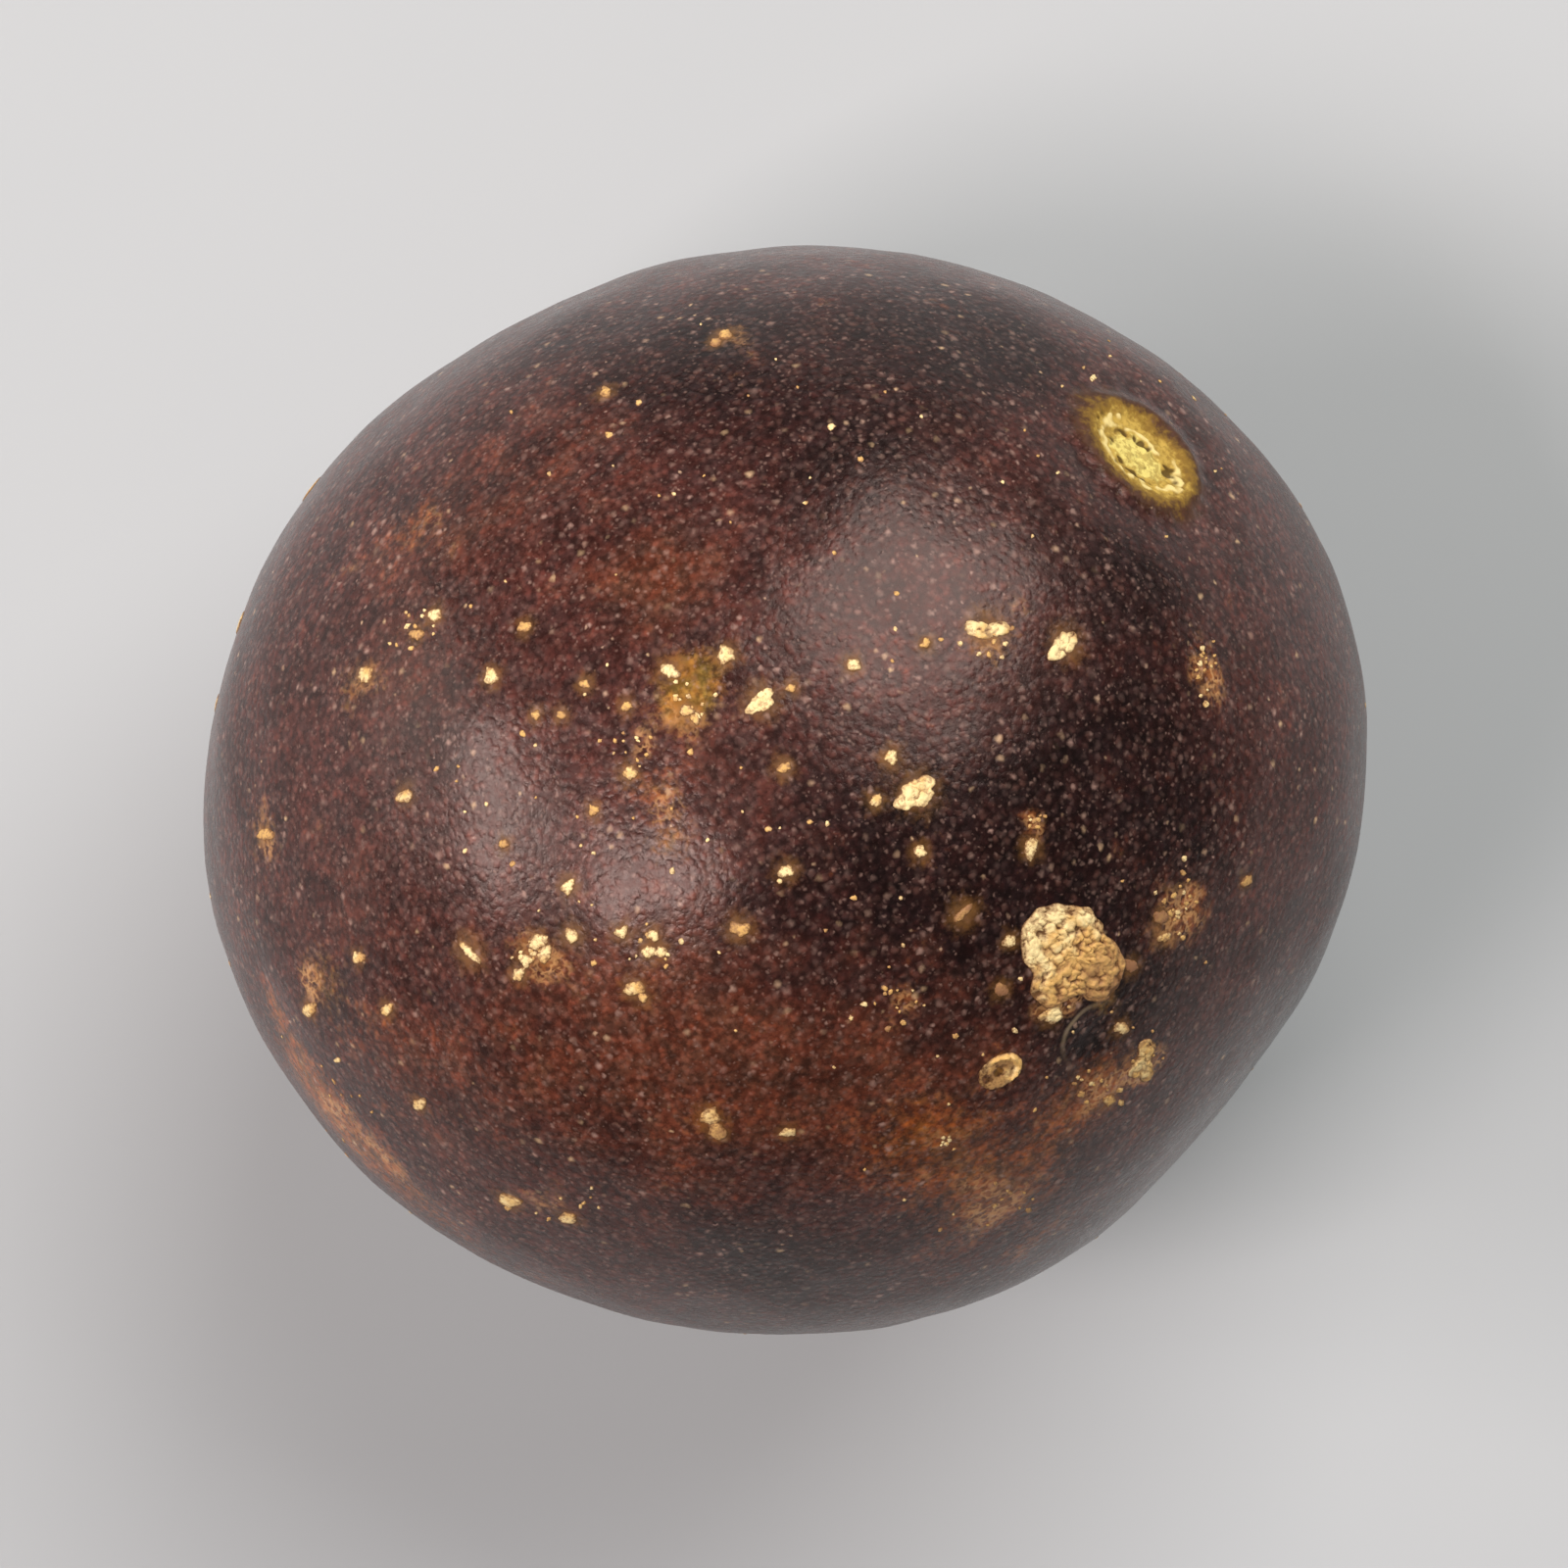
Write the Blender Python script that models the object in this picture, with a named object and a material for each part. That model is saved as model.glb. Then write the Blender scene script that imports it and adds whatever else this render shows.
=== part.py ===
"""A purple passion fruit, built as the one grown piece that it is.

The fruit lies as it was photographed, seen from above: on its side, with the stem end
raised. +Z is up, +X points the way the stem end points when seen from above, and the
origin is on the floor, under the middle of the fruit's bounding box.
"""

import math

import bmesh
import bpy
import numpy as np
from mathutils import Vector

# Driving dimensions, in metres and degrees.
HALF_LONG = 0.0277  # half of the longest level width
HALF_SHORT = 0.0254  # half of the level width across it
HALF_HIGH = 0.0262  # half of the height before the weight flattens the underside
LONG_AXIS_TURN = -23.0  # from the stem's direction to the long axis, seen from above
STEM_RISE = 33.0  # how far the stem end points above the level
REST_DEPTH = 0.0008  # how much of the underside is pressed flat
NODE_NAME = "fruit"

# The scar where the stem broke off, and the small one that the flower left.
STEM_SCAR_RADIUS = 0.0029
STEM_HOLLOW_RADIUS = 0.0072
STEM_HOLLOW_DEPTH = 0.00055
STEM_RIM_HEIGHT = 0.00035
STEM_RIM_WIDTH = 0.0007
BLOSSOM_TIP_RADIUS = 0.0021
BLOSSOM_TIP_HEIGHT = 0.0006
BLOSSOM_HOLLOW_RADIUS = 0.0060
BLOSSOM_HOLLOW_DEPTH = 0.00035

# The three seed rows inside show on the rind as three faint long swellings.
CARPELS = 3
CARPEL_SWELL = 0.00022
CARPEL_PHASE = 25.0

# Broad swellings and flats of the rind: direction seen from above counted from the
# stem's direction, rise above the level, half-width (all degrees), and height.
SWELLS = (
    (-108.0, 5.0, 22.0, 0.00075),
    (-40.0, 10.0, 24.0, 0.00020),
    (-78.0, 8.0, 16.0, -0.00045),
    (178.0, 5.0, 26.0, -0.00050),
    (118.0, -10.0, 30.0, 0.00030),
    (152.0, 42.0, 17.0, -0.00035),
    (-150.0, 60.0, 20.0, 0.00025),
    (60.0, 55.0, 18.0, -0.00025),
)

AROUND = 68  # columns about the stem's axis
ROWS = 50  # rows from the stem scar to the blossom scar
ROW_CROWDING = 0.72  # 0 spaces the rows evenly, and towards 1 they crowd at both scars

RIND_COLOUR = (0.055, 0.026, 0.028, 1.0)
RIND_ROUGHNESS = 0.48


def direction(turn, rise):
    """The unit vector that is turned from +X and raised above the level, in degrees."""
    turn, rise = math.radians(turn), math.radians(rise)
    flat = math.cos(rise)
    return np.array([flat * math.cos(turn), flat * math.sin(turn), math.sin(rise)])


STEM = direction(0.0, STEM_RISE)
SIDE = np.array([0.0, 1.0, 0.0])
UPPER = np.cross(STEM, SIDE)


def step_down(value):
    """1 at 0 and 0 from 1 on, with a smooth S between."""
    value = np.clip(value, 0.0, 1.0)
    return 1.0 - value * value * (3.0 - 2.0 * value)


def smooth_body(rays):
    """Distance from the middle to the rind along each ray, before the scars.

    An ellipsoid's radius is 1 over the length of the ray divided by the half-axes.
    Each swelling adds its height times a bell curve of the angle to its middle.
    """
    turn = math.radians(LONG_AXIS_TURN)
    along = rays[..., 0] * math.cos(turn) + rays[..., 1] * math.sin(turn)
    across = rays[..., 1] * math.cos(turn) - rays[..., 0] * math.sin(turn)
    scaled = (along / HALF_LONG) ** 2 + (across / HALF_SHORT) ** 2
    radius = 1.0 / np.sqrt(scaled + (rays[..., 2] / HALF_HIGH) ** 2)
    for turn, rise, width, height in SWELLS:
        off = np.degrees(np.arccos(np.clip(rays @ direction(turn, rise), -1.0, 1.0)))
        radius = radius + height * np.exp(-((off / width) ** 2))
    around = np.arctan2(rays @ UPPER, rays @ SIDE)
    belt = 1.0 - (rays @ STEM) ** 2
    wave = np.cos(CARPELS * around + math.radians(CARPEL_PHASE))
    return radius + CARPEL_SWELL * wave * belt**1.5


def scars(rays, radius):
    """What the two scars add to the radius: a shallow hollow with a rim or a tip in it."""
    from_stem = radius * np.arccos(np.clip(rays @ STEM, -1.0, 1.0))
    from_blossom = radius * np.arccos(np.clip(-(rays @ STEM), -1.0, 1.0))
    added = -STEM_HOLLOW_DEPTH * step_down(from_stem / STEM_HOLLOW_RADIUS)
    rim = (from_stem - STEM_SCAR_RADIUS) / STEM_RIM_WIDTH
    added += STEM_RIM_HEIGHT * np.exp(-(rim**2))
    added -= BLOSSOM_HOLLOW_DEPTH * step_down(from_blossom / BLOSSOM_HOLLOW_RADIUS)
    return added + BLOSSOM_TIP_HEIGHT * step_down(from_blossom / BLOSSOM_TIP_RADIUS)


def rind_point(angle, around):
    """The point of the rind at an angle from the stem's axis, and around it."""
    ray = math.cos(angle) * STEM
    ray = ray + math.sin(angle) * (math.cos(around) * SIDE + math.sin(around) * UPPER)
    radius = smooth_body(ray)
    return Vector(ray * (radius + scars(ray, radius)))


def row_angles():
    """Angles from the stem's axis to each row between the two scars.

    An even share of the way, less a sine of it, which crowds the rows at both ends.
    """
    share = np.arange(1, ROWS) / ROWS
    turn = 2.0 * math.pi
    return math.pi * (share - ROW_CROWDING * np.sin(turn * share) / turn)


def rind_mesh():
    """A closed skin of rings about the stem's axis, with a point at each scar."""
    mesh = bmesh.new()
    turns = np.arange(AROUND) * (2.0 * math.pi / AROUND)
    rings = [
        [mesh.verts.new(rind_point(angle, around)) for around in turns]
        for angle in row_angles()
    ]
    stem_end = mesh.verts.new(rind_point(0.0, 0.0))
    blossom_end = mesh.verts.new(rind_point(math.pi, 0.0))
    for column in range(AROUND):
        after = (column + 1) % AROUND
        mesh.faces.new((stem_end, rings[0][column], rings[0][after]))
        mesh.faces.new((blossom_end, rings[-1][after], rings[-1][column]))
        for ring, below in zip(rings, rings[1:]):
            mesh.faces.new((ring[column], below[column], below[after], ring[after]))
    bmesh.ops.recalc_face_normals(mesh, faces=mesh.faces)
    return mesh


def press_flat(mesh):
    """Cuts off the lowest REST_DEPTH and closes the cut with one flat face."""
    level = min(vertex.co.z for vertex in mesh.verts) + REST_DEPTH
    everything = mesh.verts[:] + mesh.edges[:] + mesh.faces[:]
    cut = bmesh.ops.bisect_plane(
        mesh,
        geom=everything,
        dist=1e-6,
        plane_co=(0.0, 0.0, level),
        plane_no=(0.0, 0.0, -1.0),
        clear_outer=True,
    )
    rim = [edge for edge in cut["geom_cut"] if isinstance(edge, bmesh.types.BMEdge)]
    bmesh.ops.contextual_create(mesh, geom=rim)
    bmesh.ops.recalc_face_normals(mesh, faces=mesh.faces)


def stand_on_floor(mesh):
    """Moves the mesh so that it rests on z = 0 with its bounding box's middle over the origin."""
    points = np.array([vertex.co for vertex in mesh.verts])
    low, high = points.min(axis=0), points.max(axis=0)
    shift = -(low + high) / 2.0
    shift[2] = -low[2]
    bmesh.ops.translate(mesh, verts=mesh.verts, vec=Vector(shift))


def rind_material():
    material = bpy.data.materials.new("rind")
    material.use_nodes = True
    shader = material.node_tree.nodes["Principled BSDF"]
    shader.inputs["Base Color"].default_value = RIND_COLOUR
    shader.inputs["Roughness"].default_value = RIND_ROUGHNESS
    shader.inputs["Metallic"].default_value = 0.0
    return material


def build_fruit():
    mesh = rind_mesh()
    press_flat(mesh)
    stand_on_floor(mesh)
    data = bpy.data.meshes.new(NODE_NAME)
    mesh.to_mesh(data)
    mesh.free()
    data.materials.append(rind_material())
    data.shade_smooth()
    data.set_sharp_from_angle(angle=math.radians(40.0))
    fruit = bpy.data.objects.new(NODE_NAME, data)
    bpy.context.scene.collection.objects.link(fruit)


for leftover in list(bpy.data.objects):
    bpy.data.objects.remove(leftover)
build_fruit()
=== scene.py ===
# %% [markdown]
# # A ripe passion fruit
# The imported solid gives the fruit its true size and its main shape: an egg with soft swellings, a stem
# scar at the raised end and a blossom tip opposite. This script lays a fine rind over it, with the low
# hills, pores and scars that a real one has, sets the corky crusts and flecks on it, and lights it as a
# small studio would. Lengths are in metres, with Z up and the resting spot under the origin.

# %% Load the frame
import math

import bpy
import numpy as np
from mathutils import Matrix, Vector


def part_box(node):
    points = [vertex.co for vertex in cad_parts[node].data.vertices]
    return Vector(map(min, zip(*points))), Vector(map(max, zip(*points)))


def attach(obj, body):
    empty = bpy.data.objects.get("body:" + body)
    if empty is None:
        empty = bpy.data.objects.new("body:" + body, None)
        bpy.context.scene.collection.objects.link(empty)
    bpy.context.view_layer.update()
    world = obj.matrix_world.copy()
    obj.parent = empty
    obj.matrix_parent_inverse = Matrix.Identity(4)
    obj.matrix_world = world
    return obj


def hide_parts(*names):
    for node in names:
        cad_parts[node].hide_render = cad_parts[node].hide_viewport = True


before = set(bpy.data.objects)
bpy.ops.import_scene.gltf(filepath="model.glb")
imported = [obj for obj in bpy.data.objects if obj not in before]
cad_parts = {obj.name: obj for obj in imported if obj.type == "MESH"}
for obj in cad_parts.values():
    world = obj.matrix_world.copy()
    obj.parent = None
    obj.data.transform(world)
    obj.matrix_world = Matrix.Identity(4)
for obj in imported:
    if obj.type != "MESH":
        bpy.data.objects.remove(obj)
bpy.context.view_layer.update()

MM = 0.001
low_corner, high_corner = (np.array(corner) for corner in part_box("fruit"))
print("solid's size in mm:", np.round((high_corner - low_corner) / MM, 2))

# %% [markdown]
# ## The body
# A passion fruit is an egg with soft swellings. It could be sculpted, or the solid's mesh could be divided
# and smoothed, but the first would drift from the solid and the second would keep a hint of its facets. So
# the rind takes the solid's own formula: an ellipsoid's radius in each direction, with swellings added to
# it. A direction is a turn from the way the stem points, seen from above, and a rise over the horizontal.
# Because everything is a function of direction, the rind can be as fine as the light asks for.

# %% The solid's own values
HALF_LONG, HALF_SHORT, HALF_HIGH = 27.7 * MM, 25.4 * MM, 26.2 * MM
LONG_AXIS_TURN = -23.0
STEM_RISE = 33.0
REST_DEPTH = 0.8 * MM
STEM_SCAR_RADIUS = 2.9 * MM
STEM_HOLLOW_RADIUS, STEM_HOLLOW_DEPTH = 7.2 * MM, 0.55 * MM
STEM_RIM_HEIGHT, STEM_RIM_WIDTH = 0.35 * MM, 0.7 * MM
BLOSSOM_TIP_RADIUS, BLOSSOM_TIP_HEIGHT = 2.1 * MM, 0.6 * MM
BLOSSOM_HOLLOW_RADIUS, BLOSSOM_HOLLOW_DEPTH = 6.0 * MM, 0.35 * MM
CARPELS, CARPEL_SWELL, CARPEL_PHASE, CARPEL_FADE = 3, 0.22 * MM, 25.0, 1.5
# turn and rise in degrees, half-width in degrees, height in mm
SWELLS = (
    (-108.0, 5.0, 22.0, 0.75), (-40.0, 10.0, 24.0, 0.20), (-78.0, 8.0, 16.0, -0.45),
    (178.0, 5.0, 26.0, -0.50), (118.0, -10.0, 30.0, 0.30), (152.0, 42.0, 17.0, -0.35),
    (-150.0, 60.0, 20.0, 0.25), (60.0, 55.0, 18.0, -0.25),
)
print("an egg with", len(SWELLS), "swellings and hollows and", CARPELS, "long waves")

# %% [markdown]
# A swelling or a mark is a place on the rind with a soft edge. The helpers that follow turn angles into
# directions, measure the angle between two of them, and fade a value by a step or a bell.

# %% Directions, steps and bells
UPWARDS = np.array([0.0, 0.0, 1.0])


def direction(turn, rise):
    """Unit vector of a turn and a rise in degrees: the cosine of the rise lies flat, its sine stands up."""
    turn, rise = math.radians(turn), math.radians(rise)
    return np.array([math.cos(rise) * math.cos(turn), math.cos(rise) * math.sin(turn), math.sin(rise)])


def unit(vectors):
    """Each row divided by its length."""
    return vectors / np.linalg.norm(vectors, axis=-1, keepdims=True)


def angle_to(rays, axis):
    """Angle between each ray and an axis, the arc cosine of their dot product."""
    return np.arccos(np.clip(rays @ axis, -1.0, 1.0))


def step_down(value):
    """Falls from 1 at 0 to 0 at 1 as 1 - (3v^2 - 2v^3), and stays flat outside."""
    v = np.clip(value, 0.0, 1.0)
    return 1.0 - v * v * (3.0 - 2.0 * v)


def hump(distance, width):
    """A bell: e to the minus square of distance over width."""
    return np.exp(-((distance / width) ** 2))


STEM = direction(0.0, STEM_RISE)
SIDE = np.array([0.0, 1.0, 0.0])
UPPER = np.cross(STEM, SIDE)
print("the stem points along", np.round(STEM, 3))


# %% The body's radius and the relief of its two ends
def turn_about_stem(rays):
    """Angle of each ray round the stem axis, from the side towards the upper way."""
    return np.arctan2(rays @ UPPER, rays @ SIDE)


def smooth_body(rays):
    """Radius in each direction: the ellipsoid's, plus a bell for each swelling, plus three waves around the
    stem axis that die away towards both ends."""
    turn = math.radians(LONG_AXIS_TURN)
    along = rays[:, 0] * math.cos(turn) + rays[:, 1] * math.sin(turn)
    across = rays[:, 1] * math.cos(turn) - rays[:, 0] * math.sin(turn)
    squares = (along / HALF_LONG) ** 2 + (across / HALF_SHORT) ** 2 + (rays[:, 2] / HALF_HIGH) ** 2
    radius = 1.0 / np.sqrt(squares)
    for swell_turn, rise, width, height in SWELLS:
        off = np.degrees(angle_to(rays, direction(swell_turn, rise)))
        radius = radius + height * MM * hump(off, width)
    belt = np.clip(1.0 - (rays @ STEM) ** 2, 0.0, 1.0) ** CARPEL_FADE
    waves = np.cos(CARPELS * turn_about_stem(rays) + math.radians(CARPEL_PHASE))
    return radius + CARPEL_SWELL * waves * belt


def end_scars(from_stem, from_blossom):
    """The solid's own relief at its two ends: a hollow with a raised ring, and a hollow with a low tip."""
    added = -STEM_HOLLOW_DEPTH * step_down(from_stem / STEM_HOLLOW_RADIUS)
    added = added + STEM_RIM_HEIGHT * hump(from_stem - STEM_SCAR_RADIUS, STEM_RIM_WIDTH)
    added = added - BLOSSOM_HOLLOW_DEPTH * step_down(from_blossom / BLOSSOM_HOLLOW_RADIUS)
    return added + BLOSSOM_TIP_HEIGHT * step_down(from_blossom / BLOSSOM_TIP_RADIUS)


print("radius at the stem and the blossom in mm:", np.round(smooth_body(np.array([STEM, -STEM])) / MM, 2))

# %% [markdown]
# ## The photograph's view
# The fruit is seen from straight above, with its stem end turned 43 degrees up from the picture's right.
# Marks that the picture shows are listed by their pixel, at 5.3 pixels to a millimetre. A pixel is only a
# place seen from above, so it is carried down onto the body, and the mark is then laid on the rind there.
# A ray could be cast at a finished mesh for this, but working it out on the formula needs no mesh, and the
# mark doesn't hang on how fine the mesh is.

# %% From a pixel to a direction on the body
VIEW_TURN = math.radians(43.4)
VIEW_MIDDLE = (748.0, 425.0)
PIXELS_PER_MM = 5.3
VIEW_RIGHT = np.array([math.cos(VIEW_TURN), -math.sin(VIEW_TURN), 0.0])
VIEW_UP = np.array([math.sin(VIEW_TURN), math.cos(VIEW_TURN), 0.0])
LENS_MM, SENSOR_MM, FRAME_WIDTH = 200.0, 36.0, 74.0 * MM
CAMERA_DISTANCE = FRAME_WIDTH * LENS_MM / SENSOR_MM
PLACING_STEPS, LEAST_HEIGHT = 40, 1.5 * MM
# where the body's centre stands, found when it is set down
body_shift = np.zeros(3)


def from_view(right, up, towards):
    """A vector given as the picture's right and up and the way to the camera, in the part's axes."""
    return right * VIEW_RIGHT + up * VIEW_UP + towards * UPWARDS


def pixel_ray(pixels):
    """Directions from the body's centre to the points under these pixels. A point nearer to the camera looks
    larger, so its flat place is the pixel's place times 1 less its height over the camera's distance. The
    height is the root of the radius squared less the flat distance squared, and both are refined until they
    agree."""
    pixels = np.atleast_2d(np.asarray(pixels, float))
    right = (pixels[:, 0] - VIEW_MIDDLE[0]) / PIXELS_PER_MM * MM
    up = (VIEW_MIDDLE[1] - pixels[:, 1]) / PIXELS_PER_MM * MM
    seen = right[:, None] * VIEW_RIGHT + up[:, None] * VIEW_UP
    height = np.full(len(seen), HALF_HIGH / 2)
    for _ in range(PLACING_STEPS):
        flat = seen * (1.0 - height / CAMERA_DISTANCE)[:, None] - body_shift * np.array([1.0, 1.0, 0.0])
        rays = unit(flat + height[:, None] * UPWARDS)
        target = smooth_body(rays) ** 2 - (flat**2).sum(axis=1)
        height = 0.5 * (height + np.sqrt(np.clip(target, LEAST_HEIGHT**2, None)))
    return rays


print("camera's distance in mm:", round(CAMERA_DISTANCE / MM, 1))

# %% [markdown]
# ## Hills and ripples
# A passion fruit's rind is never a clean egg. It has low hills a finger's width apart, softer ones between
# them and an orange-peel ripple, all of them under a third of a millimetre. A texture could displace the
# mesh for this, but then the cork that sits on the rind wouldn't know where it lies. Sums of plane waves in
# random directions give the same relief to whatever asks, and without a seam, because it is a function of
# the point itself.

# %% Hills: wavelength in mm, height in mm, seed
HILLS = ((16.0, 0.085, 5), (7.0, 0.034, 11), (2.5, 0.0075, 23))


def ripples(points, wavelength, seed, waves=28):
    """Smooth random height with a spread of 1: plane waves in random directions, each of a length near the
    one asked for, added up and divided by the root of half their number."""
    draw = np.random.default_rng(seed)
    ways = unit(draw.normal(size=(waves, 3)))
    ways = ways / (wavelength * draw.uniform(0.75, 1.35, waves))[:, None]
    phases = draw.uniform(0.0, 2.0 * math.pi, waves)
    return np.cos(points @ (2.0 * math.pi * ways).T + phases).sum(axis=1) / math.sqrt(waves / 2)


def hills(points):
    """The hills of each wavelength, times their height."""
    return sum(height * MM * ripples(points, wavelength * MM, seed) for wavelength, height, seed in HILLS)


print("hills at the stem in mm:", np.round(hills(STEM[None] * HALF_HIGH) / MM, 3))

# %% [markdown]
# ## The stem scar and the blossom tip
# Where the stalk came off, a disc of dry pale tissue is left. Short dark slits run around it in broken
# rings, with raised ridges between them. At the other end the flower has left a small dry point. Paint or a
# bump would look flat from the side, so both are cut into the rind's own surface, and its rows of points
# crowd together there. Each slit or ridge is an arc: a radius with a bell across it, and a window that opens
# and closes it.

# %% Slits and ridges: radius in mm, half-width in mm, strength, start and end around the scar in degrees
STEM_SLITS = (
    (1.15, 0.18, 1.3, 262.0, 305.0), (1.7, 0.19, 1.1, 200.0, 214.0), (1.95, 0.15, 0.7, 188.0, 196.0),
    (1.6, 0.22, 1.2, 68.0, 80.0), (1.6, 0.14, 0.9, 96.0, 140.0), (1.5, 0.16, 0.8, 22.0, 32.0),
    (1.35, 0.15, 0.8, 335.0, 350.0), (2.4, 0.14, 0.6, 0.0, 8.0), (2.3, 0.14, 0.6, 24.0, 30.0),
    (2.45, 0.1, 0.35, 120.0, 170.0), (2.55, 0.1, 0.35, 250.0, 300.0), (1.2, 0.1, 0.45, 225.0, 250.0),
    (0.45, 0.1, 0.35, 100.0, 170.0),
)
STEM_RIDGES = (
    (1.55, 0.20, 1.0, 245.0, 325.0), (2.05, 0.24, 1.0, 30.0, 175.0), (2.15, 0.22, 1.0, 185.0, 225.0),
    (2.00, 0.20, 1.0, 335.0, 375.0),
)
SCAR_LENGTH, SCAR_WIDTH = 1.06, 0.84
ARC_FADE = math.radians(14.0)


def scar_reach(from_stem, around):
    """Distance from the scar's middle on an oval scale: the root of the squares of its parts along and
    across the scar, each over the scar's own proportion that way."""
    return from_stem * np.sqrt((np.cos(around) / SCAR_LENGTH) ** 2 + (np.sin(around) / SCAR_WIDTH) ** 2)


def arcs(rows, reach, around):
    """The strongest of the listed arcs at each point: its strength times a bell across its radius, times a
    window that is 1 from its start to its end and falls to 0 past each of them."""
    made = np.zeros(len(reach))
    for radius, width, strength, start, end in rows:
        middle, half = math.radians((start + end) / 2), math.radians((end - start) / 2)
        off = np.abs(np.angle(np.exp(1j * (around - middle))))
        bell = strength * hump(reach - radius * MM, width * MM)
        made = np.maximum(made, bell * step_down((off - half) / ARC_FADE))
    return made


def stem_grooves(from_stem, around, points):
    """Depth, 0 to 1, of the slits in the stem scar, which wander a little, with a pit in the middle. A fine
    ripple breaks them up."""
    reach = scar_reach(from_stem, around) + 0.09 * MM * ripples(points, 0.9 * MM, 71)
    cut = np.maximum(0.35 * hump(from_stem, 0.18 * MM), arcs(STEM_SLITS, reach, around))
    return np.clip(cut * (0.85 + 0.3 * ripples(points, 0.45 * MM, 73)), 0.0, 1.0)


def stem_ridges(from_stem, around, points):
    """Height, 0 to 1, of the ridges between the slits, made in the same way and notched by a ripple."""
    reach = scar_reach(from_stem, around) + 0.12 * MM * ripples(points, 0.9 * MM, 75)
    notches = np.clip(0.75 + 0.35 * ripples(points, 0.5 * MM, 77), 0.1, 1.0)
    return arcs(STEM_RIDGES, reach, around) * notches


print(len(STEM_SLITS), "slits and", len(STEM_RIDGES), "ridges")

# %% Relief of the two ends
SCAR_INSIDE, SCAR_INSIDE_FADE = 2.4 * MM, 1.1 * MM
SLIT_DEPTH, RIDGE_HEIGHT, NODULE_HEIGHT = 0.12 * MM, 0.09 * MM, 0.022 * MM
PUCKERS, PUCKER_HEIGHT, PUCKER_RADIUS, PUCKER_WIDTH = 19.0, 0.020 * MM, 3.9 * MM, 0.8 * MM
STUB_RADIUS, STUB_HEIGHT, STUB_UNREST = 0.85 * MM, 0.30 * MM, 0.05 * MM
MOAT_RADIUS, MOAT_WIDTH, MOAT_DEPTH = 1.25 * MM, 0.3 * MM, 0.10 * MM
TIP_PUCKERS, TIP_PUCKER_HEIGHT, TIP_PUCKER_RADIUS, TIP_PUCKER_WIDTH = 13.0, 0.03 * MM, 2.4 * MM, 0.9 * MM


def end_details(points, from_stem, from_blossom, around):
    """Fine relief at the ends: slits, ridges and nodules inside the stem scar, puckers round it, and at the
    blossom tip a dry stub in a moat with a ring of small puckers."""
    inside = step_down((from_stem - SCAR_INSIDE) / SCAR_INSIDE_FADE)
    nodules = ripples(points, 0.75 * MM, 31) + 0.6 * ripples(points, 0.35 * MM, 35)
    added = -SLIT_DEPTH * stem_grooves(from_stem, around, points) * inside
    added = added + RIDGE_HEIGHT * stem_ridges(from_stem, around, points)
    added = added + NODULE_HEIGHT * nodules * inside
    puckers = np.cos(PUCKERS * around + 1.6 * ripples(points, 5.0 * MM, 37))
    added = added + PUCKER_HEIGHT * puckers * hump(from_stem - PUCKER_RADIUS, PUCKER_WIDTH)
    stub = STUB_HEIGHT + STUB_UNREST * ripples(points, 0.5 * MM, 41)
    added = added + stub * step_down(from_blossom / STUB_RADIUS)
    added = added - MOAT_DEPTH * hump(from_blossom - MOAT_RADIUS, MOAT_WIDTH)
    tip_puckers = TIP_PUCKER_HEIGHT * np.cos(TIP_PUCKERS * around + 0.8)
    return added + tip_puckers * hump(from_blossom - TIP_PUCKER_RADIUS, TIP_PUCKER_WIDTH)


print("slits are cut", round(SLIT_DEPTH / MM, 3), "mm deep, ridges rise", round(RIDGE_HEIGHT / MM, 3), "mm")

# %% [markdown]
# ## Dents beside the crusts
# Old bruises leave shallow bowls. A sculpting brush could press them in, but a bell with a listed place,
# width and depth can be moved or deepened by one number. Each lies where the picture shows a dark, round or
# flattened place.

# %% Shallow bowls: pixel, half-width in mm, depth in mm
BOWLS = np.array((
    (826, 486, 1.5, 0.16), (802, 497, 0.9, 0.07), (735, 345, 5.0, 0.12), (697, 436, 5.5, 0.10),
    (840, 430, 4.5, 0.12), (770, 505, 5.0, 0.10), (660, 470, 4.0, 0.08),
))
BOWL_RAYS = pixel_ray(BOWLS[:, :2])
BOWL_WIDTHS, BOWL_DEPTHS = BOWLS[:, 2] * MM, BOWLS[:, 3] * MM


def bowls(points):
    """The bowls' depths added up, each a bell of the distance to its middle."""
    middles = BOWL_RAYS * smooth_body(BOWL_RAYS)[:, None]
    gaps = np.linalg.norm(points[:, None, :] - middles[None, :, :], axis=2)
    return -(hump(gaps, BOWL_WIDTHS) * BOWL_DEPTHS).sum(axis=1)


print(len(BOWLS), "bowls, the deepest", round(float(BOWL_DEPTHS.max()) / MM, 2), "mm")

# %% [markdown]
# ## One function for the whole surface
# The rind and everything that sits on it use one function from direction to point. A Shrinkwrap modifier
# could lay the later pieces on the rind, but one function keeps their height over it exact. It adds the
# relief to the body, stretches the result to the solid's box and presses the underside flat where the fruit
# rests, with a soft edge.

# %% Place, stretch and press
PRESS_SOFTNESS = 0.22 * MM
# both are found when the body is set down
body_stretch = np.ones(3)
press_floor = 0.0


def loose_points(rays, lift=0.0):
    """Points about the body's own centre, before it is set down: ray times radius, relief and lift."""
    radius = smooth_body(rays)
    points = rays * radius[:, None]
    from_stem, from_blossom = radius * angle_to(rays, STEM), radius * angle_to(rays, -STEM)
    added = end_scars(from_stem, from_blossom) + hills(points) + bowls(points)
    added = added + end_details(points, from_stem, from_blossom, turn_about_stem(rays))
    return rays * (radius + added + lift)[:, None]


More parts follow.
